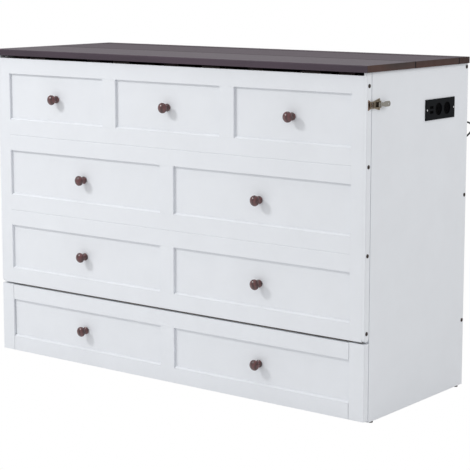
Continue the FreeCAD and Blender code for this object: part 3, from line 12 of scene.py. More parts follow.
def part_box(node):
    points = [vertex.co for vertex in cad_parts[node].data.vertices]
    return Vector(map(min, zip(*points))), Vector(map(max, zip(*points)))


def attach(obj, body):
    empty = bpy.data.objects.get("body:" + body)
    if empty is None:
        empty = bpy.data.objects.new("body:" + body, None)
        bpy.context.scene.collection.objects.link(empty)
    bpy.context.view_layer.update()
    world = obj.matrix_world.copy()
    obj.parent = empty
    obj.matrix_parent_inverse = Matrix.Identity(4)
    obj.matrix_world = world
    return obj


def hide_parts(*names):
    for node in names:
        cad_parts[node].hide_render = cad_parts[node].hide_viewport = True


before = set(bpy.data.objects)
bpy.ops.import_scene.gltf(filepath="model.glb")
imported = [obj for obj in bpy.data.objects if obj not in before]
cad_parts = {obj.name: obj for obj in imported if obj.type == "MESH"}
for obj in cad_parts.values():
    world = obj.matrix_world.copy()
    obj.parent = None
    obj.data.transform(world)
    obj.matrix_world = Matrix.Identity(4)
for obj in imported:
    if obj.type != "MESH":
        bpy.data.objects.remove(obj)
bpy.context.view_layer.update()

# ---------------------------------------------------------------- the photograph's camera
CAMERA_PLACE = (3.4353, -4.3600, 1.4506)
CAMERA_AZIMUTH = 37.686  # degrees, to the left of straight ahead
CAMERA_TILT = 8.063  # degrees below level
CAMERA_REACH = 100.0
PICTURE_SHIFT = -0.10  # small, so that every other view still holds the whole object
FOCAL_PIXELS = 1558.9
PICTURE_PIXELS = 470
SENSOR_WIDTH = 36.0  # millimetres, as the lens

# ---------------------------------------------------------------- the studio
WORLD_LIGHT = 0.69
LAMPS = {
    "key": {"place": (-2.2, -3.0, 3.2), "target": (0, 0, 0.5), "size": 0.8, "power": 68.0},
    "side": {"place": (2.4, 0.1, 2.4), "target": (0.8, 0, 0.8), "size": 1.4, "power": 11.5},
    "top": {"place": (0.0, -0.4, 4.4), "target": (0, -0.3, 0.5), "size": 2.5, "power": 28.0},
}
FLOOR_SIZE = 60.0
FLOOR_GREY = 0.75  # of the light that the floor throws back

# ---------------------------------------------------------------- driving dimensions
PLANK_WIDTH = 0.282
PLANK_GROOVE = 0.0045  # half the width of the painted groove shade at a joint
PLANK_END_STARTS = 0.0012  # this far from an end face, the sawn end's tone begins
PLANK_END_IS_FULL = 0.0006  # this far from it, that tone has taken over

KNOB_SEGMENTS = 64
KNOB_RADIUS = 0.0182  # 0.7 mm more than the solid's, as seen from the photograph's camera
KNOB_HALF_DEPTH = 0.012
KNOB_CROWN_RADIUS = 0.022
KNOB_CENTRE = 0.028  # from the face it stands on
KNOB_NECK_RADIUS = 0.0085
KNOB_WAIST_RADIUS = 0.0075
KNOB_BASE_RADIUS = 0.0135
KNOB_BASE_THICKNESS = 0.0065
KNOB_BASE_ROUND = 0.0015

SILL_HEIGHT = 0.0065  # of the slope along the bottom of every recess
RECESS_TONGUE = 0.008  # how far a recessed panel reaches into its frame

CORD_DIAMETER = 0.006
CORD_X = 0.782
CORD_HEIGHT = 0.920
RELIEF_LENGTH = 0.030
FLOOR_CLEARANCE = 0.0003
COIL_X = 0.640
COIL_REACH = 0.085  # of its middle, behind the cabinet
COIL_OUTER_RADIUS = 0.0384
COIL_PITCH = 0.0066
COIL_LAYER_TURNS = 1.75
COIL_CLIMB_TURNS = 0.5  # from the lower layer to the upper one
COIL_POINTS_PER_TURN = 16

MATTRESS_VOXEL = 0.016
MATTRESS_INSET = 0.010  # of the cover before it is filled
MATTRESS_ROUND = 0.022
MATTRESS_PRESSURE = 4.0
MATTRESS_FRAMES = 20
MATTRESS_SWELL = 0.008  # the most that the filling moves the cover
QUILT_SPACING = 0.17
QUILT_DEPTH = 0.0045
QUILT_WIDTH = 0.010
QUILT_BORDER = 0.035  # the width of the plain edge around the stitching
QUILT_FADE = 0.03  # the width over which the stitching deepens
QUILT_FLATNESS = 0.7  # the part of a normal across the pad above which a face is stitched
PIPING_RADIUS = 0.0035
PIPING_PROUD = 0.4  # of its radius: how far its middle lies above the cover
PIPING_STEP = 0.012
PIPING_SIDES = 8
PIPING_CORNER_STEPS = 6

WELD_DISTANCE = 0.00001
SAME_EDGE = 0.0003  # edges that are closer than this are one edge
ON_AXIS = 0.000001

# ---------------------------------------------------------------- which finish goes where
PAINTED_NODES = (
    "side_panel_right",
    "side_panel_left",
    "back_frame",
    "back_panels",
    "panel_rails",
    "panel_mid_stiles",
    "panel_stiles",
    "panel_recess_panels",
    "panel_end_boards",
    "unit_stiles",
    "drawer_front_frame",
    "drawer_front_panels",
)
SLAT_NODES = ("deck_slats", "deck_cleats", "deck_bearers", "front_stretcher", "unit_rails")
PLYWOOD_NODES = (
    "panel_deck_sheet",
    "lid_deck_sheet",
    "unit_deck",
    "unit_back_board",
    "drawer_bottom",
    "drawer_box_ends",
)
PLYWOOD_SIDE_NODES = ("drawer_box_sides", "unit_side_boards")
ZINC_NODES = (
    "pivot_brackets",
    "caster_forks",
    "outlet_screws",
    "runner_outer_members",
    "runner_middle_members",
    "runner_inner_members",
)


# ---------------------------------------------------------------- materials: a small kit
class Signal:
    """A socket of a material's node tree that arithmetic works on."""

    def __init__(self, look, socket):
        self.look = look
        self.socket = socket

    def _maths(self, operation, *others, clamp=False):
        node = self.look.tree.nodes.new("ShaderNodeMath")
        node.operation = operation
        node.use_clamp = clamp
        for slot, value in zip(node.inputs, (self, *others)):
            self.look.feed(slot, value)
        return Signal(self.look, node.outputs[0])

    def __add__(self, other):
        return self._maths("ADD", other)

    def __sub__(self, other):
        return self._maths("SUBTRACT", other)

    def __mul__(self, other):
        return self._maths("MULTIPLY", other)

    __radd__ = __add__
    __rmul__ = __mul__

    def __rsub__(self, other):
        return self * -1.0 + other

    def __truediv__(self, other):
        return self._maths("DIVIDE", other)

    def floor(self):
        return self._maths("FLOOR")

    def sine(self):
        return self._maths("SINE")

    def size(self):
        return self._maths("ABSOLUTE")

    def least(self, other):
        return self._maths("MINIMUM", other)

    def ramp(self, low, high):
        """0 below low, 1 above high, and straight between."""
        return (self - low)._maths("DIVIDE", high - low, clamp=True)


class Look:
    """One procedural material under construction."""

    def __init__(self, name):
        self.material = bpy.data.materials.new(name)
        self.material.use_nodes = True
        self.tree = self.material.node_tree
        self.tree.nodes.clear()
        self.shader = self.tree.nodes.new("ShaderNodeBsdfPrincipled")
        output = self.tree.nodes.new("ShaderNodeOutputMaterial")
        self.tree.links.new(self.shader.outputs[0], output.inputs[0])

    def feed(self, slot, value):
        """Sets a socket to a value, or links a signal to it."""
        if isinstance(value, Signal):
            self.tree.links.new(value.socket, slot)
        else:
            slot.default_value = value

    def call(self, kind, output, inputs=None, **settings):
        """Adds a node, sets it up and gives one of its outputs."""
        node = self.tree.nodes.new(kind)
        for name, value in settings.items():
            setattr(node, name, value)
        for name, value in (inputs or {}).items():
            self.feed(node.inputs[name], value)
        return Signal(self, node.outputs[output])

    def place(self):
        """The point being shaded, in metres, on the piece as it stands at rest."""
        return self.call("ShaderNodeTexCoord", "Object")

    def axes(self, vector):
        """The three parts of a vector."""
        parts = self.call("ShaderNodeSeparateXYZ", 0, {0: vector}).socket.node.outputs
        return [Signal(self, part) for part in parts]

    def vector(self, x, y, z):
        return self.call("ShaderNodeCombineXYZ", 0, {0: x, 1: y, 2: z})

    def noise(self, vector, scale, detail=2.0, roughness=0.5, distortion=0.0):
        inputs = {
            "Vector": vector,
            "Scale": scale,
            "Detail": detail,
            "Roughness": roughness,
            "Distortion": distortion,
        }
        return self.call("ShaderNodeTexNoise", 0, inputs)

    def blend(self, factor, dark, light):
        """Dark at factor 0, light at factor 1."""
        inputs = {0: factor, 6: dark, 7: light}
        return self.call("ShaderNodeMix", 2, inputs, data_type="RGBA")

    def bump(self, height, depth, strength=1.0, over=None):
        """A normal from a height, over the normal of softened edges where one is given."""
        inputs = {"Height": height, "Distance": depth, "Strength": strength}
        if over is not None:
            inputs["Normal"] = over
        return self.call("ShaderNodeBump", 0, inputs)

    def soft_edges(self, radius):
        return self.call("ShaderNodeBevel", 0, {"Radius": radius}, samples=6)

    def finish(self, **channels):
        """Sets channels of the surface, such as Base_Color=..., and gives the material."""
        for name, value in channels.items():
            self.feed(self.shader.inputs[name.replace("_", " ")], value)
        return self.material


def colour(red, green, blue):
    return (red, green, blue, 1.0)


# ---------------------------------------------------------------- materials: wood and paint
def painted_board():
    """Sprayed white paint over board: a fine orange peel, faint mottling and softened edges."""
    look = Look("painted_board")
    place = look.place()
    mottle = look.noise(place, scale=9.0, detail=4.0, roughness=0.6)
    peel = look.noise(place, scale=900.0)
    waves = look.noise(place, scale=60.0, detail=3.0)
    dull, bright = colour(0.768, 0.790, 0.828), colour(0.790, 0.813, 0.852)
    tone = look.blend(mottle.ramp(0.3, 0.7), dull, bright)
    rough = mottle * 0.10 + peel * 0.06 + 0.36
    height = peel + waves * 0.6
    normal = look.bump(height, depth=0.00006, strength=0.5, over=look.soft_edges(0.0012))
    return look.finish(Base_Color=tone, Roughness=rough, Normal=normal, Coat_Weight=0.15)


def wood_grain(look, along, across, up, seed):
    """Growth rings seen along a board, with fine pores: two signals from 0 to 1."""
    slow = look.vector(along * 0.8, across * 3.0, up * 3.0 + seed)
    drift = look.noise(slow, scale=1.0, detail=3.0, roughness=0.55)
    stretched = look.vector(along * 1.4 + seed * 7.0, across * 26.0, up * 26.0)
    rings = look.noise(stretched, scale=1.0, detail=5.0, roughness=0.62, distortion=0.35)
    bands = ((across * 150.0 + drift * 26.0 + rings * 5.0).sine() + 1.0) * 0.5
    fine = look.vector(along * 14.0, across * 900.0, up * 900.0 + seed * 3.0)
    pores = look.noise(fine, scale=1.0)
    return bands * 0.35 + rings * 0.65, pores


def plank_end_tone(look, x, y, z):
    """The planks' sawn ends, which took up more stain: browner and warmer."""
    grain, pores = wood_grain(look, y, x * 0.5, z, 9.0)
    deep, warm = colour(0.008, 0.002, 0.001), colour(0.055, 0.015, 0.008)
    tone = look.blend(grain.ramp(0.25, 0.80), deep, warm)
    return look.blend(pores.ramp(0.6, 0.8) * 0.5, tone, colour(0.018, 0.007, 0.005))


def stained_planks():
    """Dark stained planks, each with its own grain, lightened towards the front with a painted
    sheen, with painted groove shade along the joints and warmer, browner ends.
    """
    look = Look("stained_planks")
    low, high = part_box("lid_planks")
    x, y, z = look.axes(look.place())
    plank = ((y - low[1]) / PLANK_WIDTH).floor()
    grain, pores = wood_grain(look, x, y, z, plank * 3.7 + 1.3)
    clouds = look.noise(look.place(), scale=3.0)
    deep, warm = colour(0.020, 0.011, 0.018), colour(0.058, 0.034, 0.052)
    pore_tone, front_sheen_tone = colour(0.012, 0.006, 0.008), colour(0.064, 0.044, 0.064)
    tone = look.blend((grain + clouds * 0.35 - 0.12).ramp(0.25, 0.80), deep, warm)
    tone = look.blend(pores.ramp(0.62, 0.78) * 0.55, tone, pore_tone)
    # The front plank is blended most towards a lighter, bluer tone and the rear plank not at all: a
    # painted sheen, lighter towards the front.
    tone = look.blend(0.40 - plank * 0.2, tone, front_sheen_tone)
    end = x.size().ramp(high[0] - PLANK_END_STARTS, high[0] - PLANK_END_IS_FULL)
    tone = look.blend(end, tone, plank_end_tone(look, x, y, z))
    joints = [low[1] + PLANK_WIDTH, low[1] + 2 * PLANK_WIDTH]
    joint = (y - joints[0]).size().least((y - joints[1]).size())
    open_face = joint.ramp(PLANK_GROOVE * 0.4, PLANK_GROOVE)
    # The joints are painted near-black: painted shade of the V-groove between the planks.
    tone = look.blend(open_face, colour(0.006, 0.003, 0.004), tone)
    rough = grain * 0.10 + pores * 0.10 + plank * 0.08 + 0.38 + (1 - open_face) * 0.5
    height = grain * 0.4 + pores + open_face * 14.0
    normal = look.bump(height, depth=0.00018, strength=0.55, over=look.soft_edges(0.0015))
    return look.finish(Base_Color=tone, Roughness=rough, Normal=normal, Specular_IOR_Level=0.38)


def lacquered_knob():
    """Reddish dark wood under a thick clear lacquer, with the grain along the knob."""
    look = Look("lacquered_knob")
    x, y, z = look.axes(look.place())
    grain, pores = wood_grain(look, y * 3.0, x * 2.4, z * 2.4, 5.0)
    deep, red = colour(0.040, 0.011, 0.012), colour(0.150, 0.046, 0.048)
    tone = look.blend(grain.ramp(0.3, 0.8), deep, red)
    tone = look.blend(pores.ramp(0.6, 0.8) * 0.4, tone, colour(0.016, 0.006, 0.005))
    return look.finish(
        Base_Color=tone,
        Roughness=grain * 0.08 + 0.30,
        Normal=look.bump(grain + pores * 0.5, depth=0.0001, strength=0.4),
        Coat_Weight=0.45,
        Coat_Roughness=0.14,
    )


def plain_wood(name, light, dark, along="x", gloss=0.5):
    """Clear sealed softwood or plywood, with the grain along one axis."""
    look = Look(name)
    x, y, z = look.axes(look.place())
    turned = {"x": (x, y, z), "y": (y, x, z)}[along]
    grain, pores = wood_grain(look, *turned, 2.0)
    tone = look.blend(grain.ramp(0.25, 0.8), light, dark)
    tone = look.blend(pores.ramp(0.6, 0.8) * 0.35, tone, dark)
    rough = grain * 0.12 + gloss
    normal = look.bump(grain + pores, depth=0.00015, strength=0.5, over=look.soft_edges(0.001))
    return look.finish(Base_Color=tone, Roughness=rough, Normal=normal)


# ---------------------------------------------------------------- materials: metal and plastic
def aged_brass(name, tarnished, rubbed, edge):
    """Plated brass gone dark in the hollows and bright where hands rub it; its sharp corners are
    lightened, partly as wear and partly as a painted highlight.
    """
    look = Look(name)
    place = look.place()
    tarnish = look.noise(place, scale=210.0, detail=4.0, roughness=0.6)
    scratches = look.noise(place, scale=1400.0)
    # Sharp convex corners take the edge colour: partly brass rubbed bright, partly a painted
    # highlight.
    corners = look.call("ShaderNodeNewGeometry", "Pointiness").ramp(0.49, 0.56)
    tone = look.blend(tarnish.ramp(0.42, 0.60), colour(*tarnished), colour(*rubbed))
    tone = look.blend(corners * 0.6, tone, colour(*edge))
    rough = tarnish * 0.28 + scratches * 0.12 + 0.12
    height = scratches + tarnish
    normal = look.bump(height, depth=0.00008, strength=0.5, over=look.soft_edges(0.0005))
    return look.finish(Base_Color=tone, Metallic=0.95, Roughness=rough, Normal=normal)


def zinc_steel(name, tint, roughness):
    """Plated steel with a faint spangle and rolling marks."""
    look = Look(name)
    place = look.place()
    spangle = look.call("ShaderNodeTexVoronoi", "Distance", {"Vector": place, "Scale": 160.0})
    marks = look.noise(place, scale=700.0, detail=3.0)
    dark = colour(*(0.75 * part for part in tint))
    tone = look.blend((spangle * 0.7 + marks * 0.5).ramp(0.2, 0.9), dark, colour(*tint))
    rough = marks * 0.18 + roughness
    normal = look.bump(marks, depth=0.00004, strength=0.4, over=look.soft_edges(0.0005))
    return look.finish(Base_Color=tone, Metallic=0.9, Roughness=rough, Normal=normal)


def moulded_plastic(name, tint, roughness, grain=0.00005, shine=0.5):
    """Fine grained moulded plastic."""
    look = Look(name)
    place = look.place()
    texture = look.noise(place, scale=1500.0, detail=3.0, roughness=0.6)
    cloud = look.noise(place, scale=40.0)
    light = colour(*(part * 1.6 for part in tint))
    tone = look.blend(cloud.ramp(0.3, 0.7) * 0.6 + texture * 0.3, colour(*tint), light)
    rough = texture * 0.14 + cloud * 0.06 + roughness
    normal = look.bump(texture, depth=grain, strength=0.5, over=look.soft_edges(0.0007))
    return look.finish(Base_Color=tone, Roughness=rough, Normal=normal, Specular_IOR_Level=shine)


def cord_vinyl():
    """Black vinyl, a little dusty, with faint marks along its length."""
    look = Look("cord_vinyl")
    place = look.place()
    dust = look.noise(place, scale=55.0, detail=4.0, roughness=0.6)
    marks = look.noise(place, scale=1100.0)
    black, dusty = colour(0.004, 0.004, 0.005), colour(0.012, 0.012, 0.013)
    tone = look.blend(dust.ramp(0.4, 0.8) * 0.6, black, dusty)
    rough = dust * 0.16 + marks * 0.08 + 0.40
    normal = look.bump(marks, depth=0.00004, strength=0.5)
    return look.finish(Base_Color=tone, Roughness=rough, Normal=normal, Specular_IOR_Level=0.25)


# ---------------------------------------------------------------- materials: cloth
def quilted_knit():
    """A knitted mattress cover: fine ribs, a soft heather of yarns and a fabric's sheen."""
    look = Look("quilted_knit")
    place = look.place()
    x, y, z = look.axes(place)
    ribs = ((x * 2600.0).sine() + 1.0) * 0.5
    rows = ((z * 2100.0 + y * 2100.0).sine() + 1.0) * 0.5
    yarn = look.noise(place, scale=420.0, detail=4.0, roughness=0.7)
    soil = look.noise(place, scale=5.0, detail=3.0)
    shade, light = colour(0.70, 0.68, 0.64), colour(0.84, 0.82, 0.79)
    tone = look.blend(yarn.ramp(0.3, 0.7), shade, light)
    tone = look.blend(soil.ramp(0.45, 0.75) * 0.25, tone, colour(0.74, 0.70, 0.63))
    rough = yarn * 0.1 + 0.82
    normal = look.bump(ribs * rows + yarn * 0.8, depth=0.0004, strength=0.6)
    return look.finish(Base_Color=tone, Roughness=rough, Normal=normal, Sheen_Weight=0.35)


# ---------------------------------------------------------------- objects
def cover(material, *nodes):
    """Gives CAD nodes their finish."""
    for node in nodes:
        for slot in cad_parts[node].material_slots:
            slot.material = material


def add_object(name, data):
    """Puts a mesh, a curve, a lamp or a camera into the scene."""
    thing = bpy.data.objects.new(name, data)
    bpy.context.scene.collection.objects.link(thing)
    return thing


def add_mesh(name, bm):
    """Puts mesh code into the scene as an object, and frees it."""
    mesh = bpy.data.meshes.new(name)
    bm.to_mesh(mesh)
    bm.free()
    return add_object(name, mesh)


def new_piece(name, bm, material, body, smooth=True):
    """Makes a piece from mesh code and lets it ride on a body."""
    piece = add_mesh(name, bm)
    if smooth:
        piece.data.shade_smooth()
    piece.data.materials.append(material)
    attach(piece, body)
    return piece


def solid_boxes(node):
    """The boxes (low corner, high corner) of a CAD node's separate solids."""
    bm = bmesh.new()
    bm.from_mesh(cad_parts[node].data)
    bmesh.ops.remove_doubles(bm, verts=bm.verts, dist=WELD_DISTANCE)
    left = set(bm.verts)
    boxes = []
    while left:
        island, edge = set(), [left.pop()]
        while edge:
            vert = edge.pop()
            island.add(vert)
            near = {other for link in vert.link_edges for other in link.verts} & left
            left -= near
            edge.extend(near)
        low = [min(vert.co[i] for vert in island) for i in range(3)]
        high = [max(vert.co[i] for vert in island) for i in range(3)]
        boxes.append((low, high))
    bm.free()
    return sorted(boxes)


# ---------------------------------------------------------------- knobs
def arc_points(start, middle, end, count):
    """Points (out from the axis, along it) on the arc from start through middle to end."""
    (ax, ay), (bx, by), (cx, cy) = start, middle, end
    squares = [x * x + y * y for x, y in (start, middle, end)]
    area = 2 * (ax * (by - cy) + bx * (cy - ay) + cx * (ay - by))
    x = (squares[0] * (by - cy) + squares[1] * (cy - ay) + squares[2] * (ay - by)) / area
    y = (squares[0] * (cx - bx) + squares[1] * (ax - cx) + squares[2] * (bx - ax)) / area
    radius = math.hypot(ax - x, ay - y)
    first = math.atan2(ay - y, ax - x)
    sweep = math.atan2(cy - y, cx - x) - first
    if area > 0:
        sweep %= 2 * math.pi
    else:
        sweep = -(-sweep % (2 * math.pi))
    angles = [first + sweep * i / count for i in range(count + 1)]
    return [(x + radius * math.cos(a), y + radius * math.sin(a)) for a in angles]


def knob_profile():
    """The knob's outline as (radius, distance from the face) from its tip to its foot."""
    crown, wide, foot = KNOB_CROWN_RADIUS, KNOB_RADIUS, KNOB_BASE_THICKNESS
    sink = crown - KNOB_HALF_DEPTH
    shoulder = (crown**2 - wide**2 - sink**2) / (2 * (crown - wide))
    lean = math.atan2(wide - shoulder, sink)

    def on_crown(angle, side):
        return (crown * math.sin(angle), KNOB_CENTRE + side * (crown * math.cos(angle) - sink))

    neck_angle = math.asin(KNOB_NECK_RADIUS / crown)
    meet = on_crown(neck_angle, -1)
    under_middle = on_crown((lean + neck_angle) / 2, -1)
    tip = arc_points((0, on_crown(0, 1)[1]), on_crown(lean / 2, 1), on_crown(lean, 1), count=12)
    tip[0] = (0.0, tip[0][1])
    rim = arc_points(on_crown(lean, 1), (wide, KNOB_CENTRE), on_crown(lean, -1), count=20)
    under = arc_points(on_crown(lean, -1), under_middle, meet, count=6)
    inner = KNOB_BASE_RADIUS - KNOB_BASE_ROUND
    waist = (KNOB_WAIST_RADIUS, foot + (meet[1] - foot) * 2 / 3)
    cove = arc_points(meet, waist, (inner, foot), count=12)
    collar = arc_points((inner, foot), (KNOB_BASE_RADIUS, foot / 2), (inner, 0.0), count=10)
    return tip + rim[1:] + under[1:] + cove[1:] + collar[1:]


def add_lathe(bm, profile, x, y, z):
    """Turns a profile about an axis that runs towards the viewer from (x, y, z)."""
    turns = [2 * math.pi * i / KNOB_SEGMENTS for i in range(KNOB_SEGMENTS)]
    rings = []
    for radius, out in profile:
        if radius < ON_AXIS:
            rings.append([bm.verts.new((x, y - out, z))])
            continue
        ring = [(x + radius * math.cos(a), y - out, z + radius * math.sin(a)) for a in turns]
        rings.append([bm.verts.new(point) for point in ring])
    for a, b in zip(rings, rings[1:]):
        for i in range(KNOB_SEGMENTS):
            j = (i + 1) % KNOB_SEGMENTS
            corners = [a[i % len(a)], a[j % len(a)], b[j % len(b)], b[i % len(b)]]
            bm.faces.new(list(dict.fromkeys(corners)))
    bmesh.ops.recalc_face_normals(bm, faces=bm.faces)


def build_knobs(material):
    """One piece for the panel's knobs and one for the drawer's, each knob where its solid is."""
    for node, body in (("panel_knobs", "front_panel"), ("drawer_knobs", "drawer")):
        bm = bmesh.new()
        for low, high in solid_boxes(node):
            face = low[1] + KNOB_CENTRE + KNOB_HALF_DEPTH
            add_lathe(bm, knob_profile(), (low[0] + high[0]) / 2, face, (low[2] + high[2]) / 2)
        piece = new_piece("turned_" + node, bm, material, body)
        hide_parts(node)


# ---------------------------------------------------------------- the recesses' sills
def build_sills(material):
    """A slope along the bottom of each recess, from the rail's front edge up to the panel. A
    panel that ends with its frame has no tongue there."""
    for node, frame_node, body in (
        ("panel_recess_panels", "panel_rails", "front_panel"),
        ("drawer_front_panels", "drawer_front_frame", "drawer"),
    ):
        front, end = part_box(frame_node)[0][1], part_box(frame_node)[1][0]
        bm = bmesh.new()
        for low, high in solid_boxes(node):
            left = low[0] + (RECESS_TONGUE if low[0] > -end + SAME_EDGE else 0.0)
            right = high[0] - (RECESS_TONGUE if high[0] < end - SAME_EDGE else 0.0)
            bottom, back = low[2] + RECESS_TONGUE, low[1]
            profile = [(front, bottom), (back, bottom), (back, bottom + SILL_HEIGHT)]
            ends = [[bm.verts.new((x, y, z)) for y, z in profile] for x in (left, right)]
            bm.faces.new(ends[0])
            bm.faces.new(ends[1])
            for i in range(3):
                j = (i + 1) % 3
                bm.faces.new((ends[0][i], ends[0][j], ends[1][j], ends[1][i]))
        bmesh.ops.recalc_face_normals(bm, faces=bm.faces)
        new_piece("sills_of_" + node, bm, material, body, smooth=False)


# ---------------------------------------------------------------- the power cord
def cord_route():
    """From the strain relief to the coil: out, down behind the back, and onto the floor."""
    x, y, z = CORD_X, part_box("back_frame")[1][1], CORD_HEIGHT
    floor = CORD_DIAMETER / 2 + FLOOR_CLEARANCE
    return [
        (x, y + RELIEF_LENGTH, z),
        (x + 0.001, y + 0.046, z),
        (x + 0.004, y + 0.061, z - 0.001),
        (x + 0.009, y + 0.073, z - 0.008),
        (x + 0.011, y + 0.079, z - 0.020),
        (x + 0.008, y + 0.076, z - 0.034),
        (x + 0.001, y + 0.067, z - 0.046),
        (x - 0.008, y + 0.055, z - 0.057),
        (x - 0.017, y + 0.044, z - 0.075),
        (x - 0.025, y + 0.034, z - 0.108),
        (x - 0.029, y + 0.028, z - 0.160),
        (x - 0.033, y + 0.029, z - 0.216),
        (x - 0.034, y + 0.025, z - 0.274),
        (x - 0.040, y + 0.027, z - 0.332),
        (x - 0.042, y + 0.024, z - 0.391),
        (x - 0.048, y + 0.028, z - 0.450),
        (x - 0.049, y + 0.026, z - 0.509),
        (x - 0.054, y + 0.031, z - 0.568),
        (x - 0.054, y + 0.030, z - 0.627),
        (x - 0.058, y + 0.035, z - 0.686),
        (x - 0.057, y + 0.037, z - 0.745),
        (x - 0.060, y + 0.045, z - 0.800),
        (x - 0.062, y + 0.057, z - 0.845),
        (x - 0.065, y + 0.072, z - 0.878),
        (x - 0.070, y + 0.087, z - 0.900),
        (x - 0.077, y + 0.101, z - 0.912),
        (x - 0.090, y + 0.114, floor),
        (x - 0.112, y + COIL_REACH + COIL_OUTER_RADIUS, floor),
    ]


def coil_route():
    """The put-away length: in on the floor, up in half a turn, and out on top."""
    centre_x, centre_y = COIL_X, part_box("back_frame")[1][1] + COIL_REACH
    floor = CORD_DIAMETER / 2 + FLOOR_CLEARANCE
    reverse = COIL_LAYER_TURNS + COIL_CLIMB_TURNS / 2
    steps = round(2 * reverse * COIL_POINTS_PER_TURN)
    points = [(centre_x + CORD_DIAMETER, centre_y + COIL_OUTER_RADIUS, floor)]
    for i in range(steps + 1):
        turns = i / COIL_POINTS_PER_TURN
        radius = COIL_OUTER_RADIUS - COIL_PITCH * (reverse - abs(turns - reverse))
        angle = math.pi / 2 + 2 * math.pi * turns
        climb = min(max((turns - COIL_LAYER_TURNS) / COIL_CLIMB_TURNS, 0.0), 1.0)
        rise = COIL_PITCH * (1 - math.cos(math.pi * climb)) / 2
        x, y = centre_x + radius * math.cos(angle), centre_y + radius * math.sin(angle)
        points.append((x, y, floor + rise))
    last = points[-1]
    points.append((last[0] - CORD_DIAMETER, last[1], last[2]))
    return points


def build_cord(material):
    """The whole cord, from the strain relief to the plug, as one swept curve."""
    points = cord_route() + coil_route()
    curve = bpy.data.curves.new("cord", "CURVE")
    curve.dimensions = "3D"
    curve.bevel_depth = CORD_DIAMETER / 2
    curve.bevel_resolution = 5
    curve.use_fill_caps = True
    curve.resolution_u = 6
    spline = curve.splines.new("NURBS")
    spline.points.add(len(points) - 1)
    for point, place in zip(spline.points, points):
        point.co = (*place, 1.0)
    spline.order_u = 3
    spline.use_endpoint_u = True
    curve.materials.append(material)
    cord = add_object("supply_cord", curve)
    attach(cord, "cabinet")
    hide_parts("power_cord", "power_cord_coil")


# ---------------------------------------------------------------- the folded mattress
def evaluated_mesh(piece):
    """A new mesh with the piece's modifiers applied."""
    seen = piece.evaluated_get(bpy.context.evaluated_depsgraph_get())
    return bpy.data.meshes.new_from_object(seen)


def modified(mesh, kind, **settings):
    """A new mesh with one modifier applied."""
    piece = add_object("pad", mesh)
    modifier = piece.modifiers.new("modifier", kind)
    for name, value in settings.items():
        setattr(modifier, name, value)
    result = evaluated_mesh(piece)
    bpy.data.objects.remove(piece)
    return result


def middle_of(low, high):
    return [(low[i] + high[i]) / 2 for i in range(3)]


def pad_block(low, high):
    """A block with rounded edges, a little smaller than the section's space, in even facets."""
    bm = bmesh.new()
    bmesh.ops.create_cube(bm, size=1.0)
    for vert in bm.verts:
        for i in range(3):
            vert.co[i] = low[i] + MATTRESS_INSET if vert.co[i] < 0 else high[i] - MATTRESS_INSET
    bmesh.ops.bevel(
        bm,
        geom=bm.edges,
        offset=MATTRESS_ROUND,
        segments=4,
        profile=0.5,
        affect="EDGES",
    )
    mesh = bpy.data.meshes.new("pad_block")
    bm.to_mesh(mesh)
    bm.free()
    return modified(mesh, "REMESH", mode="VOXEL", voxel_size=MATTRESS_VOXEL)


def blow_up(mesh):
    """Lets the filling press the cover out, no further than the swell that the space allows."""
    scene = bpy.context.scene
    pad = add_object("pad_cloth", mesh)
    cloth = pad.modifiers.new("cloth", "CLOTH")
    cloth.settings.use_pressure = True
    cloth.settings.uniform_pressure_force = MATTRESS_PRESSURE
    cloth.settings.quality = 4
    cloth.settings.effector_weights.gravity = 0.0
    cloth.point_cache.frame_end = MATTRESS_FRAMES
    for step in range(1, MATTRESS_FRAMES + 1):
        scene.frame_set(step)
    blown = evaluated_mesh(pad)
    for start, vert in zip(mesh.vertices, blown.vertices):
        move = vert.co - start.co
        if move.length > MATTRESS_SWELL:
            vert.co = start.co + move.normalized() * MATTRESS_SWELL
    bpy.data.objects.remove(pad)
    scene.frame_set(1)
    return blown


def stitch(mesh, low, high):
    """One subdivision, then sewn channels in diamonds over the two large faces."""
    fine = modified(mesh, "SUBSURF", levels=1)
    middle = middle_of(low, high)
    normals = [vert.normal.copy() for vert in fine.vertices]
    for vert, normal in zip(fine.vertices, normals):
        across, up = vert.co.x - middle[0], vert.co.z - middle[2]
        nearest = QUILT_SPACING
        for along in (across + up, across - up):
            offset = (along / QUILT_SPACING + 0.5) % 1.0 - 0.5
            nearest = min(nearest, abs(offset) * QUILT_SPACING / math.sqrt(2))
        edge = min(high[0] - low[0] - 2 * abs(across), high[2] - low[2] - 2 * abs(up)) / 2
        inside = min(max((edge - QUILT_BORDER) / QUILT_FADE, 0.0), 1.0)
        flat = max(abs(normal.y) - QUILT_FLATNESS, 0.0) / (1 - QUILT_FLATNESS)
        channel = math.exp(-((nearest / QUILT_WIDTH) ** 2))
        vert.co -= normal * QUILT_DEPTH * inside * flat * channel
    return fine


def seam_points(low, high, y):
    """A rounded rectangle in the plane of a large face, in even steps."""
    radius = MATTRESS_ROUND + MATTRESS_INSET
    middle = middle_of(low, high)
    corners = []
    for x, z, start in (
        (high[0], high[2], 0.0),
        (low[0], high[2], math.pi / 2),
        (low[0], low[2], math.pi),
        (high[0], low[2], 3 * math.pi / 2),
    ):
        centre = Vector(
            (
                x - math.copysign(radius, x - middle[0]),
                y,
                z - math.copysign(radius, z - middle[2]),
            )
        )
        for i in range(PIPING_CORNER_STEPS + 1):
            angle = start + math.pi / 2 * i / PIPING_CORNER_STEPS
            corners.append(centre + radius * Vector((math.cos(angle), 0.0, math.sin(angle))))
    points = []
    for a, b in zip(corners, corners[1:] + corners[:1]):
        steps = max(1, round((b - a).length / PIPING_STEP))
        points += [a.lerp(b, i / steps) for i in range(steps)]
    return points


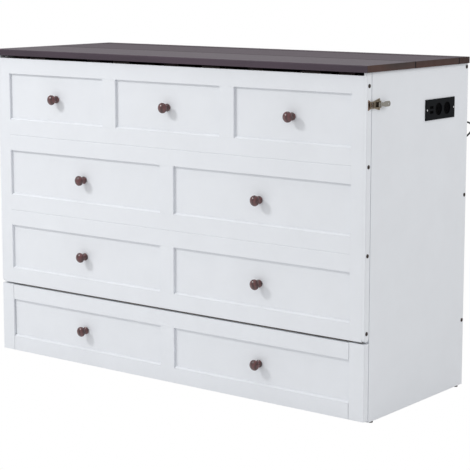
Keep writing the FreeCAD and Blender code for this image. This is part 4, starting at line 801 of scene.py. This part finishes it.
def add_piping(bm, tree, points):
    """A round cord sewn along a seam: it follows the pad's surface."""
    hits = [tree.find_nearest(point)[:2] for point in points]
    turns = [2 * math.pi * k / PIPING_SIDES for k in range(PIPING_SIDES)]
    rings = []
    for i, (place, normal) in enumerate(hits):
        along = (hits[(i + 1) % len(hits)][0] - hits[i - 1][0]).normalized()
        side = along.cross(normal).normalized()
        centre = place + normal * PIPING_RADIUS * PIPING_PROUD
        ring = [normal * math.cos(a) + side * math.sin(a) for a in turns]
        rings.append([bm.verts.new(centre + out * PIPING_RADIUS) for out in ring])
    for a, b in zip(rings, rings[1:] + rings[:1]):
        for k in range(PIPING_SIDES):
            j = (k + 1) % PIPING_SIDES
            bm.faces.new((a[k], a[j], b[j], b[k]))


def build_mattress(material):
    """The sections are sewn alike, so one is made and the others are copies of it, turned about."""
    low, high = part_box("mattress_middle_section")
    mesh = pad_block(low, high)
    mesh = blow_up(mesh)
    mesh = stitch(mesh, low, high)
    bm = bmesh.new()
    bm.from_mesh(mesh)
    tree = BVHTree.FromBMesh(bm)
    for y in (low[1] + MATTRESS_INSET, high[1] - MATTRESS_INSET):
        add_piping(bm, tree, seam_points(low, high, y))
    bmesh.ops.recalc_face_normals(bm, faces=bm.faces)
    middle = middle_of(low, high)
    for name, turned in (("head", False), ("middle", True), ("foot", False)):
        node = f"mattress_{name}_section"
        place = middle_of(*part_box(node))
        section = bm.copy()
        for vert in section.verts:
            x, y, z = (vert.co[i] - middle[i] for i in range(3))
            if turned:
                x, y = -x, -y
            vert.co = (place[0] + x, place[1] + y, place[2] + z)
        piece = new_piece(f"mattress_{name}_pad", section, material, "cabinet")
        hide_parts(node)
    bm.free()


# ---------------------------------------------------------------- the studio
def mix_by_ray(tree, second_ray, lit, seen, output_kind):
    """Ends a node tree: seen is for the camera and a second kind of ray, lit for all others."""
    rays = tree.nodes.new("ShaderNodeLightPath")
    either = tree.nodes.new("ShaderNodeMath")
    either.operation = "MAXIMUM"
    mix = tree.nodes.new("ShaderNodeMixShader")
    output = tree.nodes.new(output_kind)
    tree.links.new(rays.outputs["Is Camera Ray"], either.inputs[0])
    tree.links.new(rays.outputs[second_ray], either.inputs[1])
    tree.links.new(either.outputs[0], mix.inputs[0])
    tree.links.new(lit.outputs[0], mix.inputs[1])
    tree.links.new(seen.outputs[0], mix.inputs[2])
    tree.links.new(mix.outputs[0], output.inputs[0])


def white_floor():
    """White to the camera and in reflections, and a pale diffuse floor to all other light."""
    material = bpy.data.materials.new("white_floor")
    material.use_nodes = True
    tree = material.node_tree
    tree.nodes.clear()
    white = tree.nodes.new("ShaderNodeEmission")
    white.inputs["Color"].default_value = colour(1, 1, 1)
    pale = tree.nodes.new("ShaderNodeBsdfDiffuse")
    pale.inputs["Color"].default_value = colour(FLOOR_GREY, FLOOR_GREY, FLOOR_GREY)
    mix_by_ray(tree, "Is Glossy Ray", pale, white, "ShaderNodeOutputMaterial")
    return material


def build_floor():
    bm = bmesh.new()
    bmesh.ops.create_grid(bm, x_segments=8, y_segments=8, size=FLOOR_SIZE / 2)
    floor = add_mesh("floor", bm)
    floor.data.materials.append(white_floor())


def build_world():
    """Even light from all round, and plain white where the camera sees past the floor."""
    world = bpy.data.worlds.new("studio")
    bpy.context.scene.world = world
    world.use_nodes = True
    tree = world.node_tree
    tree.nodes.clear()
    fill = tree.nodes.new("ShaderNodeBackground")
    fill.inputs["Color"].default_value = colour(1, 1, 1)
    fill.inputs["Strength"].default_value = WORLD_LIGHT
    white = tree.nodes.new("ShaderNodeBackground")
    white.inputs["Color"].default_value = colour(1, 1, 1)
    mix_by_ray(tree, "Is Transmission Ray", fill, white, "ShaderNodeOutputWorld")


def add_lamp(name, place, target, size, power):
    data = bpy.data.lights.new(name, "AREA")
    data.shape = "DISK"
    data.size = size
    data.energy = power
    lamp = add_object(name, data)
    lamp.location = place
    lamp.rotation_euler = (Vector(target) - Vector(place)).to_track_quat("-Z", "Y").to_euler()


def build_camera():
    data = bpy.data.cameras.new("camera")
    data.sensor_width = SENSOR_WIDTH
    data.lens = FOCAL_PIXELS / PICTURE_PIXELS * SENSOR_WIDTH
    data.shift_y = PICTURE_SHIFT
    data.clip_end = CAMERA_REACH
    camera = add_object("camera", data)
    camera.location = CAMERA_PLACE
    camera.rotation_euler = (math.radians(90 - CAMERA_TILT), 0, math.radians(CAMERA_AZIMUTH))
    bpy.context.scene.camera = camera


# ---------------------------------------------------------------- the finishes, put on
def cover_wood():
    """The lid's planks and the bare wood inside."""
    cover(stained_planks(), "lid_planks")
    slat_light, slat_dark = colour(0.62, 0.45, 0.26), colour(0.47, 0.31, 0.16)
    ply_light, ply_dark = colour(0.66, 0.50, 0.31), colour(0.52, 0.37, 0.21)
    stain_light, stain_dark = colour(0.050, 0.024, 0.028), colour(0.022, 0.010, 0.012)
    cover(plain_wood("slat_wood", slat_light, slat_dark), *SLAT_NODES)
    cover(plain_wood("plywood", ply_light, ply_dark), *PLYWOOD_NODES)
    cover(plain_wood("side_plywood", ply_light, ply_dark, along="y"), *PLYWOOD_SIDE_NODES)
    stain = plain_wood("stained_battens", stain_light, stain_dark, along="y", gloss=0.6)
    cover(stain, "lid_battens")


def cover_metal():
    """The latches' three brasses, and the plated and blackened steel."""
    # Each brass's edge colour, put on its sharp corners, is partly wear and partly a painted
    # highlight.
    copper_brown = aged_brass(
        "copper_brown",
        tarnished=(0.010, 0.004, 0.003),
        rubbed=(0.13, 0.055, 0.035),
        edge=(0.45, 0.33, 0.26),
    )
    antique_brass = aged_brass(
        "antique_brass",
        tarnished=(0.006, 0.004, 0.003),
        rubbed=(0.080, 0.060, 0.036),
        edge=(0.36, 0.30, 0.22),
    )
    rubbed_brass = aged_brass(
        "rubbed_brass",
        tarnished=(0.010, 0.009, 0.006),
        rubbed=(0.060, 0.055, 0.036),
        edge=(0.42, 0.40, 0.36),
    )
    zinc = zinc_steel("zinc_steel", tint=(0.62, 0.62, 0.63), roughness=0.28)
    bronzed = zinc_steel("bronze_bolts", tint=(0.055, 0.040, 0.036), roughness=0.35)
    blackened = zinc_steel("blackened_steel", tint=(0.020, 0.015, 0.014), roughness=0.45)
    cover(copper_brown, "latch_strikes")
    cover(antique_brass, "latch_bases", "latch_bail_right", "latch_bail_left")
    cover(rubbed_brass, "latch_lever_right", "latch_lever_left")
    cover(zinc, *ZINC_NODES)
    cover(bronzed, "panel_bolts", "cabinet_bolts")
    cover(blackened, "hinge_panel_leaves", "hinge_lid_leaves")


def cover_plastic():
    """The outlet, the glides and the casters' wheels."""
    outlet = moulded_plastic("outlet_plastic", (0.0010, 0.0018, 0.0030), 0.42, shine=0.06)
    insert = moulded_plastic("insert_plastic", (0.0006, 0.0006, 0.0009), 0.6, shine=0.02)
    glide = moulded_plastic("glide_plastic", (0.045, 0.034, 0.030), 0.5)
    tread = moulded_plastic("wheel_rubber", (0.030, 0.030, 0.031), 0.6, grain=0.0001)
    cover(outlet, "outlet_faceplate", "outlet_housing")
    cover(insert, "outlet_inserts")
    cover(glide, "cabinet_glides")
    cover(tread, *(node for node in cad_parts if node.startswith("caster_wheel")))


def main():
    bpy.context.scene.view_settings.view_transform = "Standard"
    build_camera()
    vinyl = cord_vinyl()
    build_cord(vinyl)
    cover(vinyl, "cord_strain_relief", "power_plug")
    paint = painted_board()
    cover(paint, *PAINTED_NODES)
    build_sills(paint)
    build_knobs(lacquered_knob())
    cover_wood()
    cover_metal()
    cover_plastic()
    build_mattress(quilted_knit())
    build_floor()
    build_world()
    for name, lamp in LAMPS.items():
        add_lamp(name, **lamp)


main()
